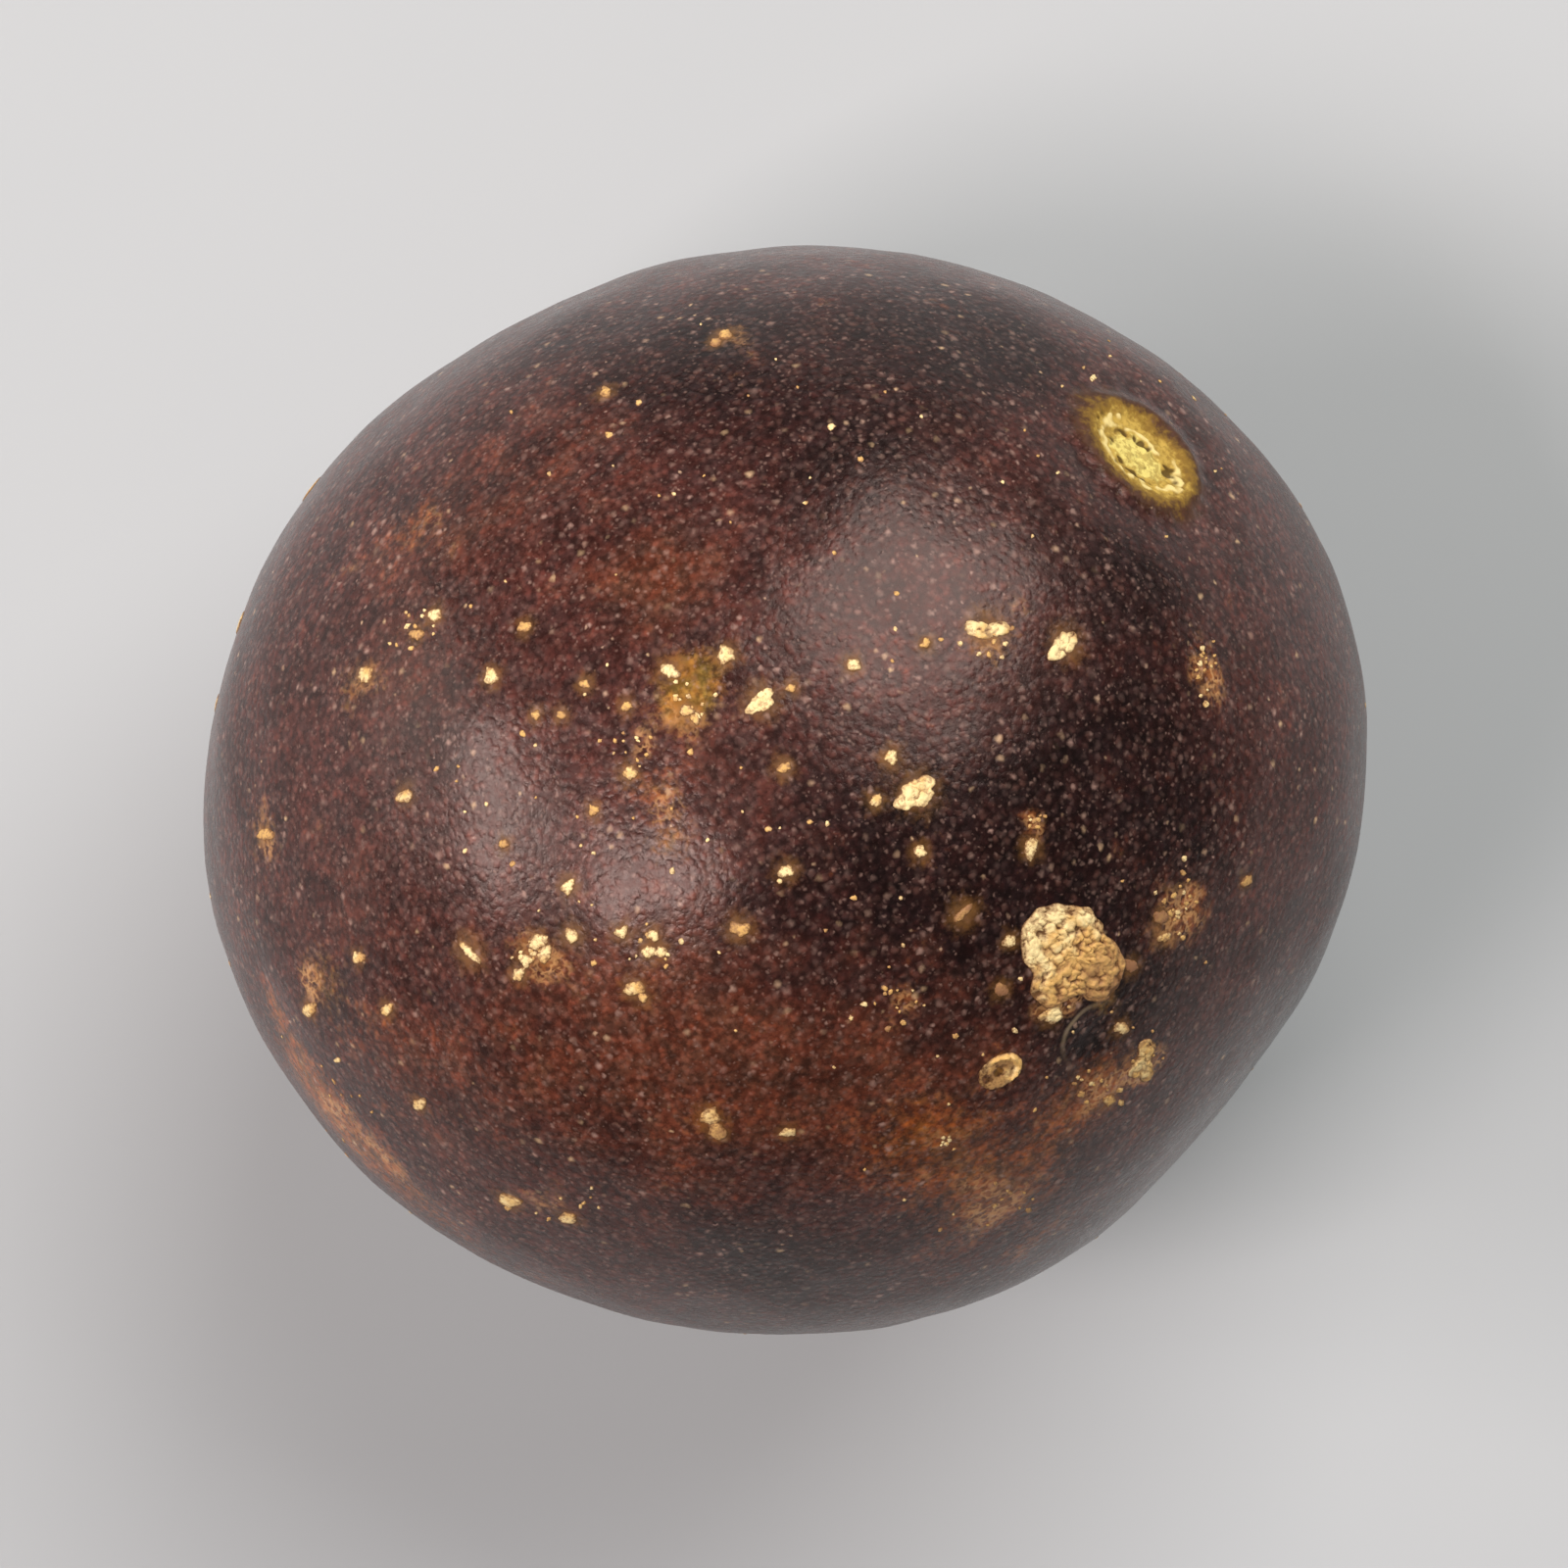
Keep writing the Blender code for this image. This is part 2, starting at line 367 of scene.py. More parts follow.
def rind_points(rays, lift=0.0):
    """Points of the finished surface. The height over the floor is pressed by half of z plus the root of z
    squared plus the softness squared, which never falls below zero."""
    points = loose_points(rays, lift) * body_stretch + body_shift
    z = points[:, 2]
    points[:, 2] = 0.5 * (z + np.sqrt(z * z + PRESS_SOFTNESS**2)) - press_floor
    return points


print("top of the loose body in mm:", np.round(loose_points(UPWARDS[None]) / MM, 2))

# %% [markdown]
# ## The rind's grid
# Rows run around the stem axis, from the stem scar to the blossom tip. Blender's own sphere has even rows,
# which would be too coarse for the scar's slits and needlessly fine elsewhere. So each row's spacing is
# asked for by its distance from the two ends, and the rows are placed by adding up one over that spacing.

# %% Rows, columns and rays
COLUMNS, ROWS = 360, 268
WIDE_SPACING, STEM_SPACING, BLOSSOM_SPACING = 0.43 * MM, 0.065 * MM, 0.13 * MM
STEM_FINE_REACH, BLOSSOM_FINE_REACH = 5.2 * MM, 3.6 * MM


def circle(columns):
    """Evenly spaced angles round a circle, one for each column."""
    return 2.0 * math.pi * np.arange(columns) / columns


def row_angles(rows):
    """Angles from the stem at which equal shares of the sum of one over the spacing are reached."""
    angles = np.linspace(0.0, math.pi, 4001)
    arc = angles * HALF_HIGH
    to_blossom = math.pi * HALF_HIGH - arc
    spacing = WIDE_SPACING - (WIDE_SPACING - STEM_SPACING) * hump(arc, STEM_FINE_REACH)
    spacing = spacing - (WIDE_SPACING - BLOSSOM_SPACING) * hump(to_blossom, BLOSSOM_FINE_REACH)
    share = np.concatenate([[0.0], np.cumsum(0.5 * (1 / spacing[1:] + 1 / spacing[:-1]))])
    return np.interp(np.arange(1, rows) / rows, share / share[-1], angles)


def polar_rays(angles, columns):
    """Rays on a grid about the stem axis, row after row, between the two pole rays."""
    around = circle(columns)
    ring = np.cos(around)[:, None] * SIDE + np.sin(around)[:, None] * UPPER
    rays = np.cos(angles)[:, None, None] * STEM + np.sin(angles)[:, None, None] * ring[None]
    return np.concatenate([STEM[None], rays.reshape(-1, 3), -STEM[None]])


rind_rays = polar_rays(row_angles(ROWS), COLUMNS)
print(len(rind_rays), "rays")

# %% [markdown]
# A face is a list of the numbers of its corners. Between two rows every column gives a quad, and at each
# pole the columns meet in a fan of triangles, so the surface is closed. Points and numbers are handed to
# the mesh as whole arrays, which is far quicker than adding them one by one.

# %% Faces of a closed polar grid
def polar_faces(rows, columns):
    """Corner numbers of a grid with a pole at each end: fans at both poles, and quads between the rows."""
    here = np.arange(columns)
    after = (here + 1) % columns
    first = 1 + columns * np.arange(rows - 1)[:, None]
    quads = np.stack([first + here, first + columns + here, first + columns + after, first + after], axis=2)
    last = 1 + columns * (rows - 1)
    top = np.stack([np.zeros(columns, int), 1 + here, 1 + after], axis=1)
    bottom = np.stack([np.full(columns, last + columns), last + after, last + here], axis=1)
    return np.concatenate([top, bottom]), quads.reshape(-1, 4)


rind_fans, rind_quads = polar_faces(ROWS - 1, COLUMNS)
print(len(rind_fans), "triangles in the fans,", len(rind_quads), "quads")


# %% From arrays to a mesh
def fill_mesh(name, points, triangles, quads):
    """A smooth-shaded mesh object from whole arrays of points and corner numbers."""
    corners = np.concatenate([triangles.ravel(), quads.ravel()]).astype(np.int32)
    sizes = np.concatenate([np.full(len(triangles), 3), np.full(len(quads), 4)])
    starts = np.concatenate([[0], np.cumsum(sizes)[:-1]]).astype(np.int32)
    mesh = bpy.data.meshes.new(name)
    mesh.vertices.add(len(points))
    mesh.vertices.foreach_set("co", points.astype(np.float32).ravel())
    mesh.loops.add(len(corners))
    mesh.loops.foreach_set("vertex_index", corners)
    mesh.polygons.add(len(sizes))
    mesh.polygons.foreach_set("loop_start", starts)
    mesh.polygons.foreach_set("use_smooth", np.ones(len(sizes), bool))
    mesh.update(calc_edges=True)
    mesh.validate()
    made = bpy.data.objects.new(name, mesh)
    bpy.context.scene.collection.objects.link(made)
    print(f"{name}: {len(points)} points, {int((sizes - 2).sum())} triangles")
    return made


def give_values(piece, name, values):
    """Stores one number for each point, which the material reads by this name."""
    made = piece.data.attributes.new(name, "FLOAT", "POINT")
    made.data.foreach_set("value", values.astype(np.float32))


# %% [markdown]
# ## Setting the body down
# The solid's box says where the fruit stands. The finished object could be moved and scaled into it, but
# then every later piece would have to be moved and scaled too. So the fine body is made once about its own
# centre and measured, and the shift and stretch that lay it exactly into that box are kept in the surface
# function. The rind then takes the place of the plain solid, on the same body.

# %% Fit to the solid's box
BOX_MARGIN, FIT_ROUNDS = 0.03 * MM, 3
loose = loose_points(rind_rays)
for _ in range(FIT_ROUNDS):
    size = np.ptp(loose * body_stretch, axis=0)
    wanted = high_corner - low_corner - 2 * BOX_MARGIN + REST_DEPTH * UPWARDS
    body_stretch = body_stretch * wanted / size
middle = (loose * body_stretch).max(axis=0) / 2 + (loose * body_stretch).min(axis=0) / 2
body_shift = (low_corner + high_corner) / 2 - middle
body_shift[2] = high_corner[2] - BOX_MARGIN - (loose[:, 2] * body_stretch[2]).max()
press_floor = rind_points(rind_rays)[:, 2].min()
rind_surface = rind_points(rind_rays)
print("stretch:", np.round(body_stretch, 4), "shift in mm:", np.round(body_shift / MM, 3))

rind = fill_mesh("rind", rind_surface, rind_fans, rind_quads)
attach(rind, "root")
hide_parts("fruit")

# %% [markdown]
# ## Stains in the rind
# The colour runs from near-black, where the fruit is fully ripe, through aubergine to rust, amber and olive
# where the sun or an old bruise has changed it. The near-black stains near the top and bottom rims and round
# the large crust are painted shade instead. Stains could be painted into an image, but that would need the
# rind unwrapped flat. Here each is a soft bell at a pixel, kept as a number on every point, and the material
# breaks its edge up later.

# %% Stains: pixel, half-width in mm, strength
STAINS = {
    # near-black: ripe colour, and painted shade in the rows near the top and bottom rims and round the large
    # crust
    "dark_and_painted_shade": (
        (838, 425, 6.5, 1.0), (800, 447, 7.0, 0.9), (845, 475, 4.5, 0.8), (815, 460, 4.5, 0.8),
        (760, 440, 6.0, 0.45), (797, 314, 6.5, 1.0), (765, 345, 5.0, 0.75), (835, 372, 4.5, 0.8),
        (735, 312, 6.0, 0.8), (748, 548, 6.0, 0.7), (826, 486, 1.6, 1.1), (662, 417, 3.2, 0.6),
        (708, 385, 3.0, 0.35), (694, 312, 5.0, 0.6), (868, 500, 5.0, 0.5),
    ),
    "rust": (
        (716, 372, 3.2, 1.1), (690, 345, 5.0, 0.5), (660, 360, 4.5, 0.6), (650, 395, 3.5, 0.5),
        (700, 500, 7.5, 0.85), (745, 500, 6.0, 0.8), (785, 505, 6.0, 0.8), (825, 503, 2.6, 0.9),
        (730, 420, 3.0, 0.45), (640, 450, 4.0, 0.4), (655, 500, 5.0, 0.6), (720, 470, 4.0, 0.4),
        (849, 458, 2.2, 0.6), (811, 434, 1.0, 0.8),
    ),
    "amber": (
        (636, 510, 3.0, 1.1), (626, 496, 2.3, 0.9), (652, 525, 2.4, 0.9), (803, 527, 3.8, 1.3),
        (784, 516, 3.0, 1.0), (619, 480, 1.5, 0.6), (669, 540, 1.8, 0.6), (648, 508, 1.6, 0.5),
        (614, 462, 1.2, 0.4), (684, 549, 1.3, 0.4), (812, 541, 2.2, 0.35), (655, 358, 2.0, 0.6),
        (825, 501, 2.2, 1.0), (839, 495, 1.2, 0.7), (712, 423, 1.5, 0.45), (720, 430, 1.4, 0.35),
        (849, 457, 1.2, 0.7), (854, 396, 1.1, 0.9), (640, 485, 2.2, 0.45), (778, 478, 1.4, 0.5),
        (730, 510, 1.0, 0.7), (686, 467, 1.4, 0.7), (715, 466, 0.9, 0.6), (811, 434, 0.7, 0.8),
        (814, 476, 1.0, 0.7),
    ),
    "olive": (
        (726, 398, 1.4, 1.15), (722, 405, 1.2, 0.9), (640, 400, 1.6, 0.5), (632, 475, 2.0, 0.6),
        (616, 437, 1.8, 0.5), (800, 388, 1.3, 0.5), (719, 439, 1.2, 0.6), (829, 479, 0.9, 0.7),
        (802, 497, 1.1, 0.8), (855, 398, 1.5, 0.5),
    ),
    "russet": (
        (848, 458, 1.6, 0.85), (854, 397, 1.3, 1.0), (839, 495, 1.4, 1.2), (824, 501, 1.9, 0.85),
        (803, 529, 3.0, 0.85), (788, 518, 2.2, 0.7), (814, 541, 2.0, 0.3), (636, 508, 2.6, 0.7),
        (652, 524, 2.0, 0.6), (778, 479, 1.5, 0.7), (816, 480, 1.2, 1.0), (723, 408, 0.9, 0.5),
        (711, 415, 1.3, 0.8), (720, 431, 1.5, 0.6), (631, 478, 1.7, 0.8), (617, 438, 1.5, 0.7),
        (643, 398, 1.3, 0.8), (686, 467, 1.5, 0.9), (655, 385, 1.4, 0.6), (802, 389, 2.0, 0.6),
        (660, 358, 2.4, 0.5), (733, 313, 1.5, 0.6), (690, 532, 2.4, 0.5), (812, 434, 1.1, 0.9),
        (735, 462, 1.2, 0.6),
    ),
}
UNSEEN_STAINS = 22


def stain_field(points, name, seed):
    """Strength of one kind of stain: a bell for each listed place, plus seeded ones on the underside."""
    rows = np.array(STAINS[name])
    draw = np.random.default_rng(seed)
    below = unit(draw.normal(size=(UNSEEN_STAINS, 3)) * np.array([1.0, 1.0, 0.6]))
    below[:, 2] = -np.abs(below[:, 2]) - 0.05
    centres = np.concatenate([rind_points(pixel_ray(rows[:, :2])), rind_points(unit(below))])
    below_widths = draw.uniform(0.35, 1.15, UNSEEN_STAINS) * np.median(rows[:, 2]) * 1.5
    widths = np.concatenate([rows[:, 2], below_widths]) * MM
    strengths = np.concatenate([rows[:, 3], draw.uniform(0.2, 0.65, UNSEEN_STAINS)])
    field = np.zeros(len(points))
    for centre, width, strength in zip(centres, widths, strengths):
        field += strength * hump(np.linalg.norm(points - centre, axis=1), width)
    return field


for seed, stain in enumerate(STAINS, 100):
    field = stain_field(rind_surface, stain, seed)
    give_values(rind, stain, field)
    print(f"{stain}: {len(STAINS[stain])} places, {100 * (field > 0.5).mean():.0f} % of the points over half")

# %% [markdown]
# ## Values for the two ends
# The material needs to know how far each point is from the stem and the blossom, how deep it lies in a slit
# and how high it stands on a ridge. It could work this out again from the place alone, but the numbers that
# made the shapes are at hand, and a colour taken from them lies exactly on its shape.

# %% Distances in mm, slits and ridges
rind_radius = smooth_body(rind_rays)
rind_from_stem, rind_from_blossom = (rind_radius * angle_to(rind_rays, end) for end in (STEM, -STEM))
rind_around = turn_about_stem(rind_rays)
smooth_surface = rind_rays * rind_radius[:, None]
give_values(rind, "from_stem", scar_reach(rind_from_stem, rind_around) / MM)
give_values(rind, "from_blossom", rind_from_blossom / MM)
give_values(rind, "groove", stem_grooves(rind_from_stem, rind_around, smooth_surface))
give_values(rind, "ridge", stem_ridges(rind_from_stem, rind_around, smooth_surface))
print("values on the rind:", [value.name for value in rind.data.attributes if value.data_type == "FLOAT"])

# %% [markdown]
# ## Cork on the rind
# Insects and rubbing leave wounds on the rind, and it heals with cork: a large knobbly crust, small flecks
# like grains of gold leaf, and loose clusters of them. They could be raised out of the rind's own points,
# but those lie too far apart for a crisp outline. So they are thin closed lenses: each is a polar grid laid
# on the rind by the same surface function, with its rim sunk a little into it, so it can't float.

# %% Flecks: pixel, length and width in mm, turn in the picture in degrees, tone from pale 0 to brown 1
FLECKS = (
    (660.3, 382.6, 0.5, 0.46, 0, 0.05), (655.6, 387.3, 0.45, 0.4, 0, 0.45),
    (642.9, 397.4, 0.62, 0.5, 60, 0.2), (674.9, 397.9, 0.54, 0.52, 0, 0.1),
    (683.0, 385.6, 0.46, 0.28, 10, 0.4), (652.2, 427.8, 0.54, 0.5, 0, 0.15),
    (719.1, 396.5, 0.98, 0.4, -25, 0.0), (733.4, 392.4, 0.74, 0.7, 0, 0.08),
    (723.4, 406.6, 0.62, 0.36, 10, 0.1), (725.4, 408.3, 0.46, 0.34, -60, 0.2),
    (698.0, 399.8, 0.36, 0.32, 0, 0.35), (708.2, 405.2, 0.4, 0.34, 70, 0.4),
    (685.6, 407.7, 0.32, 0.3, 0, 0.4), (692.0, 407.6, 0.32, 0.3, 0, 0.4),
    (708.9, 422.1, 0.52, 0.44, 0, 0.2), (699.9, 431.7, 0.36, 0.3, 40, 0.4),
    (693.9, 450.5, 0.56, 0.4, 60, 0.05), (694.8, 462.9, 0.78, 0.4, -45, 0.05),
    (669.2, 467.0, 1.24, 0.24, -38, 0.0), (686.1, 464.7, 0.76, 0.6, 30, 0.0),
    (688.0, 467.5, 0.7, 0.46, 60, 0.05), (683.3, 469.0, 0.48, 0.46, 0, 0.0),
    (681.4, 472.8, 0.52, 0.42, 30, 0.12), (707.3, 462.3, 0.5, 0.44, 0, 0.1),
    (715.1, 463.2, 0.48, 0.34, -30, 0.12), (714.0, 467.1, 0.42, 0.4, 0, 0.05),
    (717.2, 467.1, 0.4, 0.4, 0, 0.08), (710.5, 476.6, 0.8, 0.46, 10, 0.18),
    (712.6, 478.8, 0.44, 0.32, -50, 0.3), (736.9, 461.3, 0.86, 0.4, 5, 0.55),
    (640.6, 468.6, 0.46, 0.38, 0, 0.25), (748.6, 446.9, 0.62, 0.36, 10, 0.1),
    (749.9, 400.6, 0.34, 0.28, 0, 0.3), (765.5, 394.7, 0.46, 0.54, 90, 0.0),
    (783.7, 389.6, 0.36, 0.34, 0, 0.2), (747.9, 420.7, 0.56, 0.34, 35, 0.35),
    (775.1, 418.2, 0.66, 0.46, 70, 0.05), (771.2, 429.2, 0.48, 0.46, 0, 0.1),
    (782.1, 442.1, 0.42, 0.4, 0, 0.05), (810.0, 441.2, 0.66, 0.5, 80, 0.05),
    (804.9, 464.4, 0.46, 0.44, 0, 0.08), (832.8, 486.4, 0.54, 0.52, 0, 0.1),
    (829.7, 504.6, 0.5, 0.36, 40, 0.35), (843.8, 463.8, 0.66, 0.28, 20, 0.2),
    (864.8, 449.8, 0.42, 0.38, 0, 0.4), (733.1, 311.8, 0.66, 0.42, -20, 0.45),
    (730.6, 313.6, 0.36, 0.3, 0, 0.6), (703.0, 326.4, 0.44, 0.38, 0, 0.5),
    (628.6, 481.6, 0.66, 0.5, 30, 0.25), (648.5, 481.6, 0.48, 0.36, 60, 0.25),
    (656.2, 505.8, 0.52, 0.42, 0, 0.25), (678.9, 530.0, 0.9, 0.5, -15, 0.25),
    (693.8, 534.6, 0.7, 0.46, 0, 0.22), (729.4, 508.6, 0.8, 0.6, 60, 0.3),
    (731.6, 512.2, 0.7, 0.56, -40, 0.5), (749.3, 512.9, 0.46, 0.34, 0, 0.15),
    (792.8, 457.4, 0.96, 0.26, 45, 0.75), (616.5, 437.5, 0.56, 0.46, 0, 0.5),
    (835.2, 470.8, 0.56, 0.5, 0, 0.95), (843.2, 459.0, 0.6, 0.52, 0, 0.95),
    (802.5, 476.5, 0.5, 0.4, 0, 0.9), (677.5, 440.0, 0.34, 0.28, 0, 0.45),
)
print(len(FLECKS), "flecks have a place in the picture")

# %% Crusts made of lobes
# the middle's pixel, then for each lobe its offset in mm to the right and up and its radius in mm, then
# height in mm, cell size in mm, tone, and how much browner it gets to the right and downwards
CRUSTS = (
    (820.5, 468.0, ((-0.68, 0.52, 1.74), (1.20, -0.45, 1.26), (-0.92, -1.45, 0.92), (1.36, -1.36, 0.94),
                    (0.3, 1.0, 1.15), (0.1, -0.8, 1.15)), 0.24, 0.33, 0.30, 0.26, 0.30),
    (814.6, 483.2, ((0.0, 0.0, 0.46), (0.30, 0.12, 0.32), (-0.26, -0.10, 0.30)), 0.12, 0.32, 0.02, 0, 0),
    (781.7, 426.9, ((0.0, 0.0, 0.70), (0.45, 0.55, 0.46), (-0.62, -0.52, 0.40)), 0.14, 0.34, 0.04, 0, 0),
    (742.5, 403.8, ((0.0, 0.0, 0.54), (0.32, 0.44, 0.32), (-0.58, -0.48, 0.28)), 0.12, 0.34, 0.04, 0, 0),
    (799.0, 386.4, ((0.0, -0.05, 0.42), (0.78, 0.14, 0.40), (-0.66, 0.12, 0.36)), 0.12, 0.32, 0.06, 0, 0),
    (818.9, 390.0, ((0.0, 0.0, 0.56), (0.38, 0.30, 0.38), (-0.34, -0.34, 0.36)), 0.12, 0.34, 0.06, 0, 0),
    (838.4, 494.8, ((0.10, 0.62, 0.40), (-0.05, -0.15, 0.48), (0.28, -0.80, 0.40), (-0.42, -0.60, 0.30)),
     0.14, 0.28, 0.26, 0.1, 0.1),
)
print(len(CRUSTS), "crusts with", sum(len(row[2]) for row in CRUSTS), "lobes")

# %% Loose clusters of specks: the middle's pixel, spread to the right and up in mm, number, tone
CLUSTERS = (
    (849.0, 458.0, 0.7, 1.5, 20, 0.7), (854.0, 396.5, 0.45, 1.4, 16, 0.75),
    (839.0, 494.5, 0.6, 1.0, 8, 0.8), (824.0, 500.5, 1.5, 0.8, 14, 0.9),
    (724.0, 404.0, 0.8, 0.9, 12, 0.4), (711.0, 416.0, 0.9, 0.7, 12, 0.8),
    (686.0, 468.0, 0.8, 0.8, 12, 0.3), (805.0, 528.0, 1.7, 1.3, 12, 1.1),
    (778.0, 478.0, 1.2, 0.9, 12, 1.1), (838.0, 341.0, 3.6, 3.6, 30, 0.7),
    (811.0, 434.0, 0.6, 0.45, 8, 1.1), (655.0, 384.0, 1.3, 0.9, 10, 0.6),
    (715.0, 466.0, 1.0, 0.7, 10, 0.5), (637.0, 508.0, 1.4, 1.6, 12, 1.0),
    (690.0, 532.0, 2.2, 0.8, 10, 0.6), (818.0, 480.0, 0.9, 0.7, 8, 1.0),
    (800.0, 389.0, 1.3, 0.6, 10, 0.5), (735.0, 350.0, 7.0, 5.0, 28, 0.5),
    (700.0, 440.0, 8.0, 6.0, 36, 0.4), (800.0, 480.0, 8.0, 6.0, 28, 0.4),
    (789.6, 514.8, 0.34, 0.3, 8, 0.1),
)
print(len(CLUSTERS), "clusters with", sum(row[4] for row in CLUSTERS), "specks")

# %% [markdown]
# ## The outline and the knobs of a crust
# A crust looks like a few round lobes that have grown together. A boolean could join round discs, but it
# would leave ragged triangles. Here the outline is the lobes' far edge: for each way out from the middle,
# the distance at which the ray leaves the furthest circle. The knobs are the cells round scattered points.
# The distance to the nearest point gives the knob, and the difference between the two nearest gives the
# crack between them.

# %% Outlines of lobes and of ovals
def ways_out(around):
    """Flat unit vectors at these angles."""
    return np.stack([np.cos(around), np.sin(around)], axis=1)


def lobed_outline(around, lobes):
    """Distance in mm at which a ray from the middle leaves the union of circles: the largest of c.d plus the
    root of radius squared less c squared plus (c.d) squared. A high power mean smooths the tie between
    two."""
    out = []
    for right, up, radius in lobes:
        along = ways_out(around) @ np.array([right, up])
        out.append(along + np.sqrt(np.clip(radius**2 - right**2 - up**2 + along**2, 0.0, None)))
    out = np.clip(np.array(out), 0.0, None)
    return (out**12).sum(axis=0) ** (1 / 12)


def oval_outline(around, length, width, turn):
    """Radius of an ellipse turned by this many degrees: half over the root of the squares of the cosine over
    its length and the sine over its width."""
    off = around - math.radians(turn)
    return 0.5 / np.sqrt((np.cos(off) / length) ** 2 + (np.sin(off) / width) ** 2)


print("far edge of the large crust in mm:", round(float(lobed_outline(circle(60), CRUSTS[0][2]).max()), 2))


# %% Ragged and chipped edges
def ragged(around, seed, amount, most=12):
    """A ragged factor near 1 around an outline: two and more waves round it, weaker as they get shorter."""
    draw = np.random.default_rng(seed)
    counts = np.arange(2, most)
    heights = amount * draw.normal(size=len(counts)) / counts**0.6
    phases = draw.uniform(0, 2 * math.pi, len(counts))
    return 1.0 + (heights * np.cos(around[:, None] * counts + phases)).sum(axis=1)


def chipped(around, seed, cuts=5, sharpness=10):
    """An angular factor near 1 around an outline: the distance to the nearest of a few straight cuts, which
    is each cut's own distance over the cosine of the angle to it. A high power mean softens the corners."""
    draw = np.random.default_rng(seed)
    ways = 2 * math.pi * (np.arange(cuts) + draw.uniform(0.0, 0.5, cuts)) / cuts
    towards = np.clip(np.cos(around[:, None] - ways), 0.0, None) / draw.uniform(0.72, 1.08, cuts)
    return np.clip((towards**sharpness).sum(axis=1) ** (-1 / sharpness), 0.0, 1.5)


print("a chipped edge goes from and to:", np.round(np.percentile(chipped(circle(60), 1), (0, 100)), 2))

# %% Knobs and cracks
PUSH_SHARE, KNOB_REACH, CRACK_SHARE = 0.16, 0.8, 0.20


def knobs(flat, cell, seed):
    """Knob height and crack depth, both about 0 to 1, on a flat patch. Points are scattered on it, and each
    place is first pushed aside by a ripple. A knob is one less the square of the distance to the nearest
    point, times that point's own height. A crack is a bell of the difference between the two nearest, which
    comes and goes with another ripple."""
    reach = np.abs(flat).max() + cell
    draw = np.random.default_rng(seed)
    seeds = draw.uniform(-reach, reach, size=(int(1.3 * (2 * reach / cell) ** 2) + 4, 2))
    heights = draw.uniform(0.45, 1.15, len(seeds))
    spots = np.concatenate([flat, np.zeros((len(flat), 1))], axis=1)
    push = np.stack([ripples(spots, 1.1 * cell, seed + 1), ripples(spots, 1.1 * cell, seed + 2)], axis=1)
    gaps = np.linalg.norm((flat + PUSH_SHARE * cell * push)[:, None, :] - seeds[None], axis=2)
    nearest = gaps.argmin(axis=1)
    gaps = np.sort(gaps, axis=1)
    knob = np.clip(1.0 - (gaps[:, 0] / (KNOB_REACH * cell)) ** 2, 0.0, 1.0) * heights[nearest]
    patchy = np.clip(0.65 + 0.45 * ripples(spots, 2.6 * cell, seed + 3), 0.0, 1.0)
    return knob, hump(gaps[:, 1] - gaps[:, 0], CRACK_SHARE * cell) * patchy


ring_knob, ring_crack = knobs(ways_out(circle(60)) * MM, CRUSTS[0][4] * MM, 400)
print("mean knob and crack 1 mm out:", round(ring_knob.mean(), 2), round(ring_crack.mean(), 2))

# %% [markdown]
# ## One closed lens
# A sheet with a Solidify modifier would be equally thick up to its rim, where cork runs out to nothing. So a
# lens has an upper side that domes over the rind and an underside that hangs in it, with the rim between
# them. Its grid starts at the top's middle, goes over the rim and ends at the underside's middle, so the
# same closed polar faces serve it. Where the picture shows the rind well, the outline is as the picture
# shows it, and elsewhere it lies flat on the rind.

# %% A lens
SEEN_RISE = 0.42
RIM_SINK, UNDERSIDE = 0.03 * MM, 0.09 * MM


def lens(ray, outline, thickness, profile, relief=None, plateau=2.0):
    """One closed lens at a ray. profile gives each row's share of the outline, and its height comes from the
    dome root(1 - share^plateau), times the relief. Gives its points, rise, place from -1 to 1, and rows."""
    columns = len(outline)
    share = np.concatenate([profile, profile[-2::-1]])
    flat = (share[:, None, None] * outline[None, :, None] * ways_out(circle(columns))[None]).reshape(-1, 2)
    flat = np.concatenate([[[0.0, 0.0]], flat, [[0.0, 0.0]]])
    shares = np.concatenate([[0.0], np.repeat(share, columns), [0.0]])
    on_top = np.arange(len(shares)) < 1 + len(profile) * columns
    dome = np.sqrt(np.clip(1.0 - shares**plateau, 0.0, 1.0)) ** 0.8
    bumps = relief(flat) if relief else np.ones(len(flat))
    below = -RIM_SINK - (UNDERSIDE - RIM_SINK) * dome
    lift = np.where(on_top, thickness * dome * bumps - RIM_SINK, below)
    base = ray * smooth_body(ray[None])[0]
    if ray[2] > SEEN_RISE:
        aside = flat[:, :1] * VIEW_RIGHT + flat[:, 1:] * VIEW_UP
        rays = unit(base + aside - (aside @ ray / ray[2])[:, None] * UPWARDS)
    else:
        right = unit(VIEW_RIGHT - ray * (ray @ VIEW_RIGHT))
        rays = unit(base + flat[:, :1] * right + flat[:, 1:] * np.cross(ray, right))
    place = flat * np.array([1.0, -1.0]) / outline.max()
    return rind_points(rays, lift), np.where(on_top, bumps * dome, 0.0), place, len(share)


print("a rim is sunk", round(RIM_SINK / MM, 3), "mm into the rind")


# %% Many lenses as one mesh
def join_lenses(name, parts, tones, drifts):
    """All lenses as one mesh: their points one after another, their corner numbers moved on by the points
    before. A lens's tone is its own, plus its drifts times the place from its left to its right and from its
    top down."""
    points, rises, triangles, quads, tone, start = [], [], [], [], [], 0
    for (spot, rise, place, rows), shade, drift in zip(parts, tones, drifts):
        fans, middle_quads = polar_faces(rows, (len(spot) - 2) // rows)
        points.append(spot)
        rises.append(rise)
        tone.append(shade + place @ drift)
        triangles.append(fans + start)
        quads.append(middle_quads + start)
        start += len(spot)
    made = fill_mesh(name, np.concatenate(points), np.concatenate(triangles), np.concatenate(quads))
    give_values(made, "rise", np.concatenate(rises))
    give_values(made, "tone", np.concatenate(tone))
    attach(made, "root")
    return made


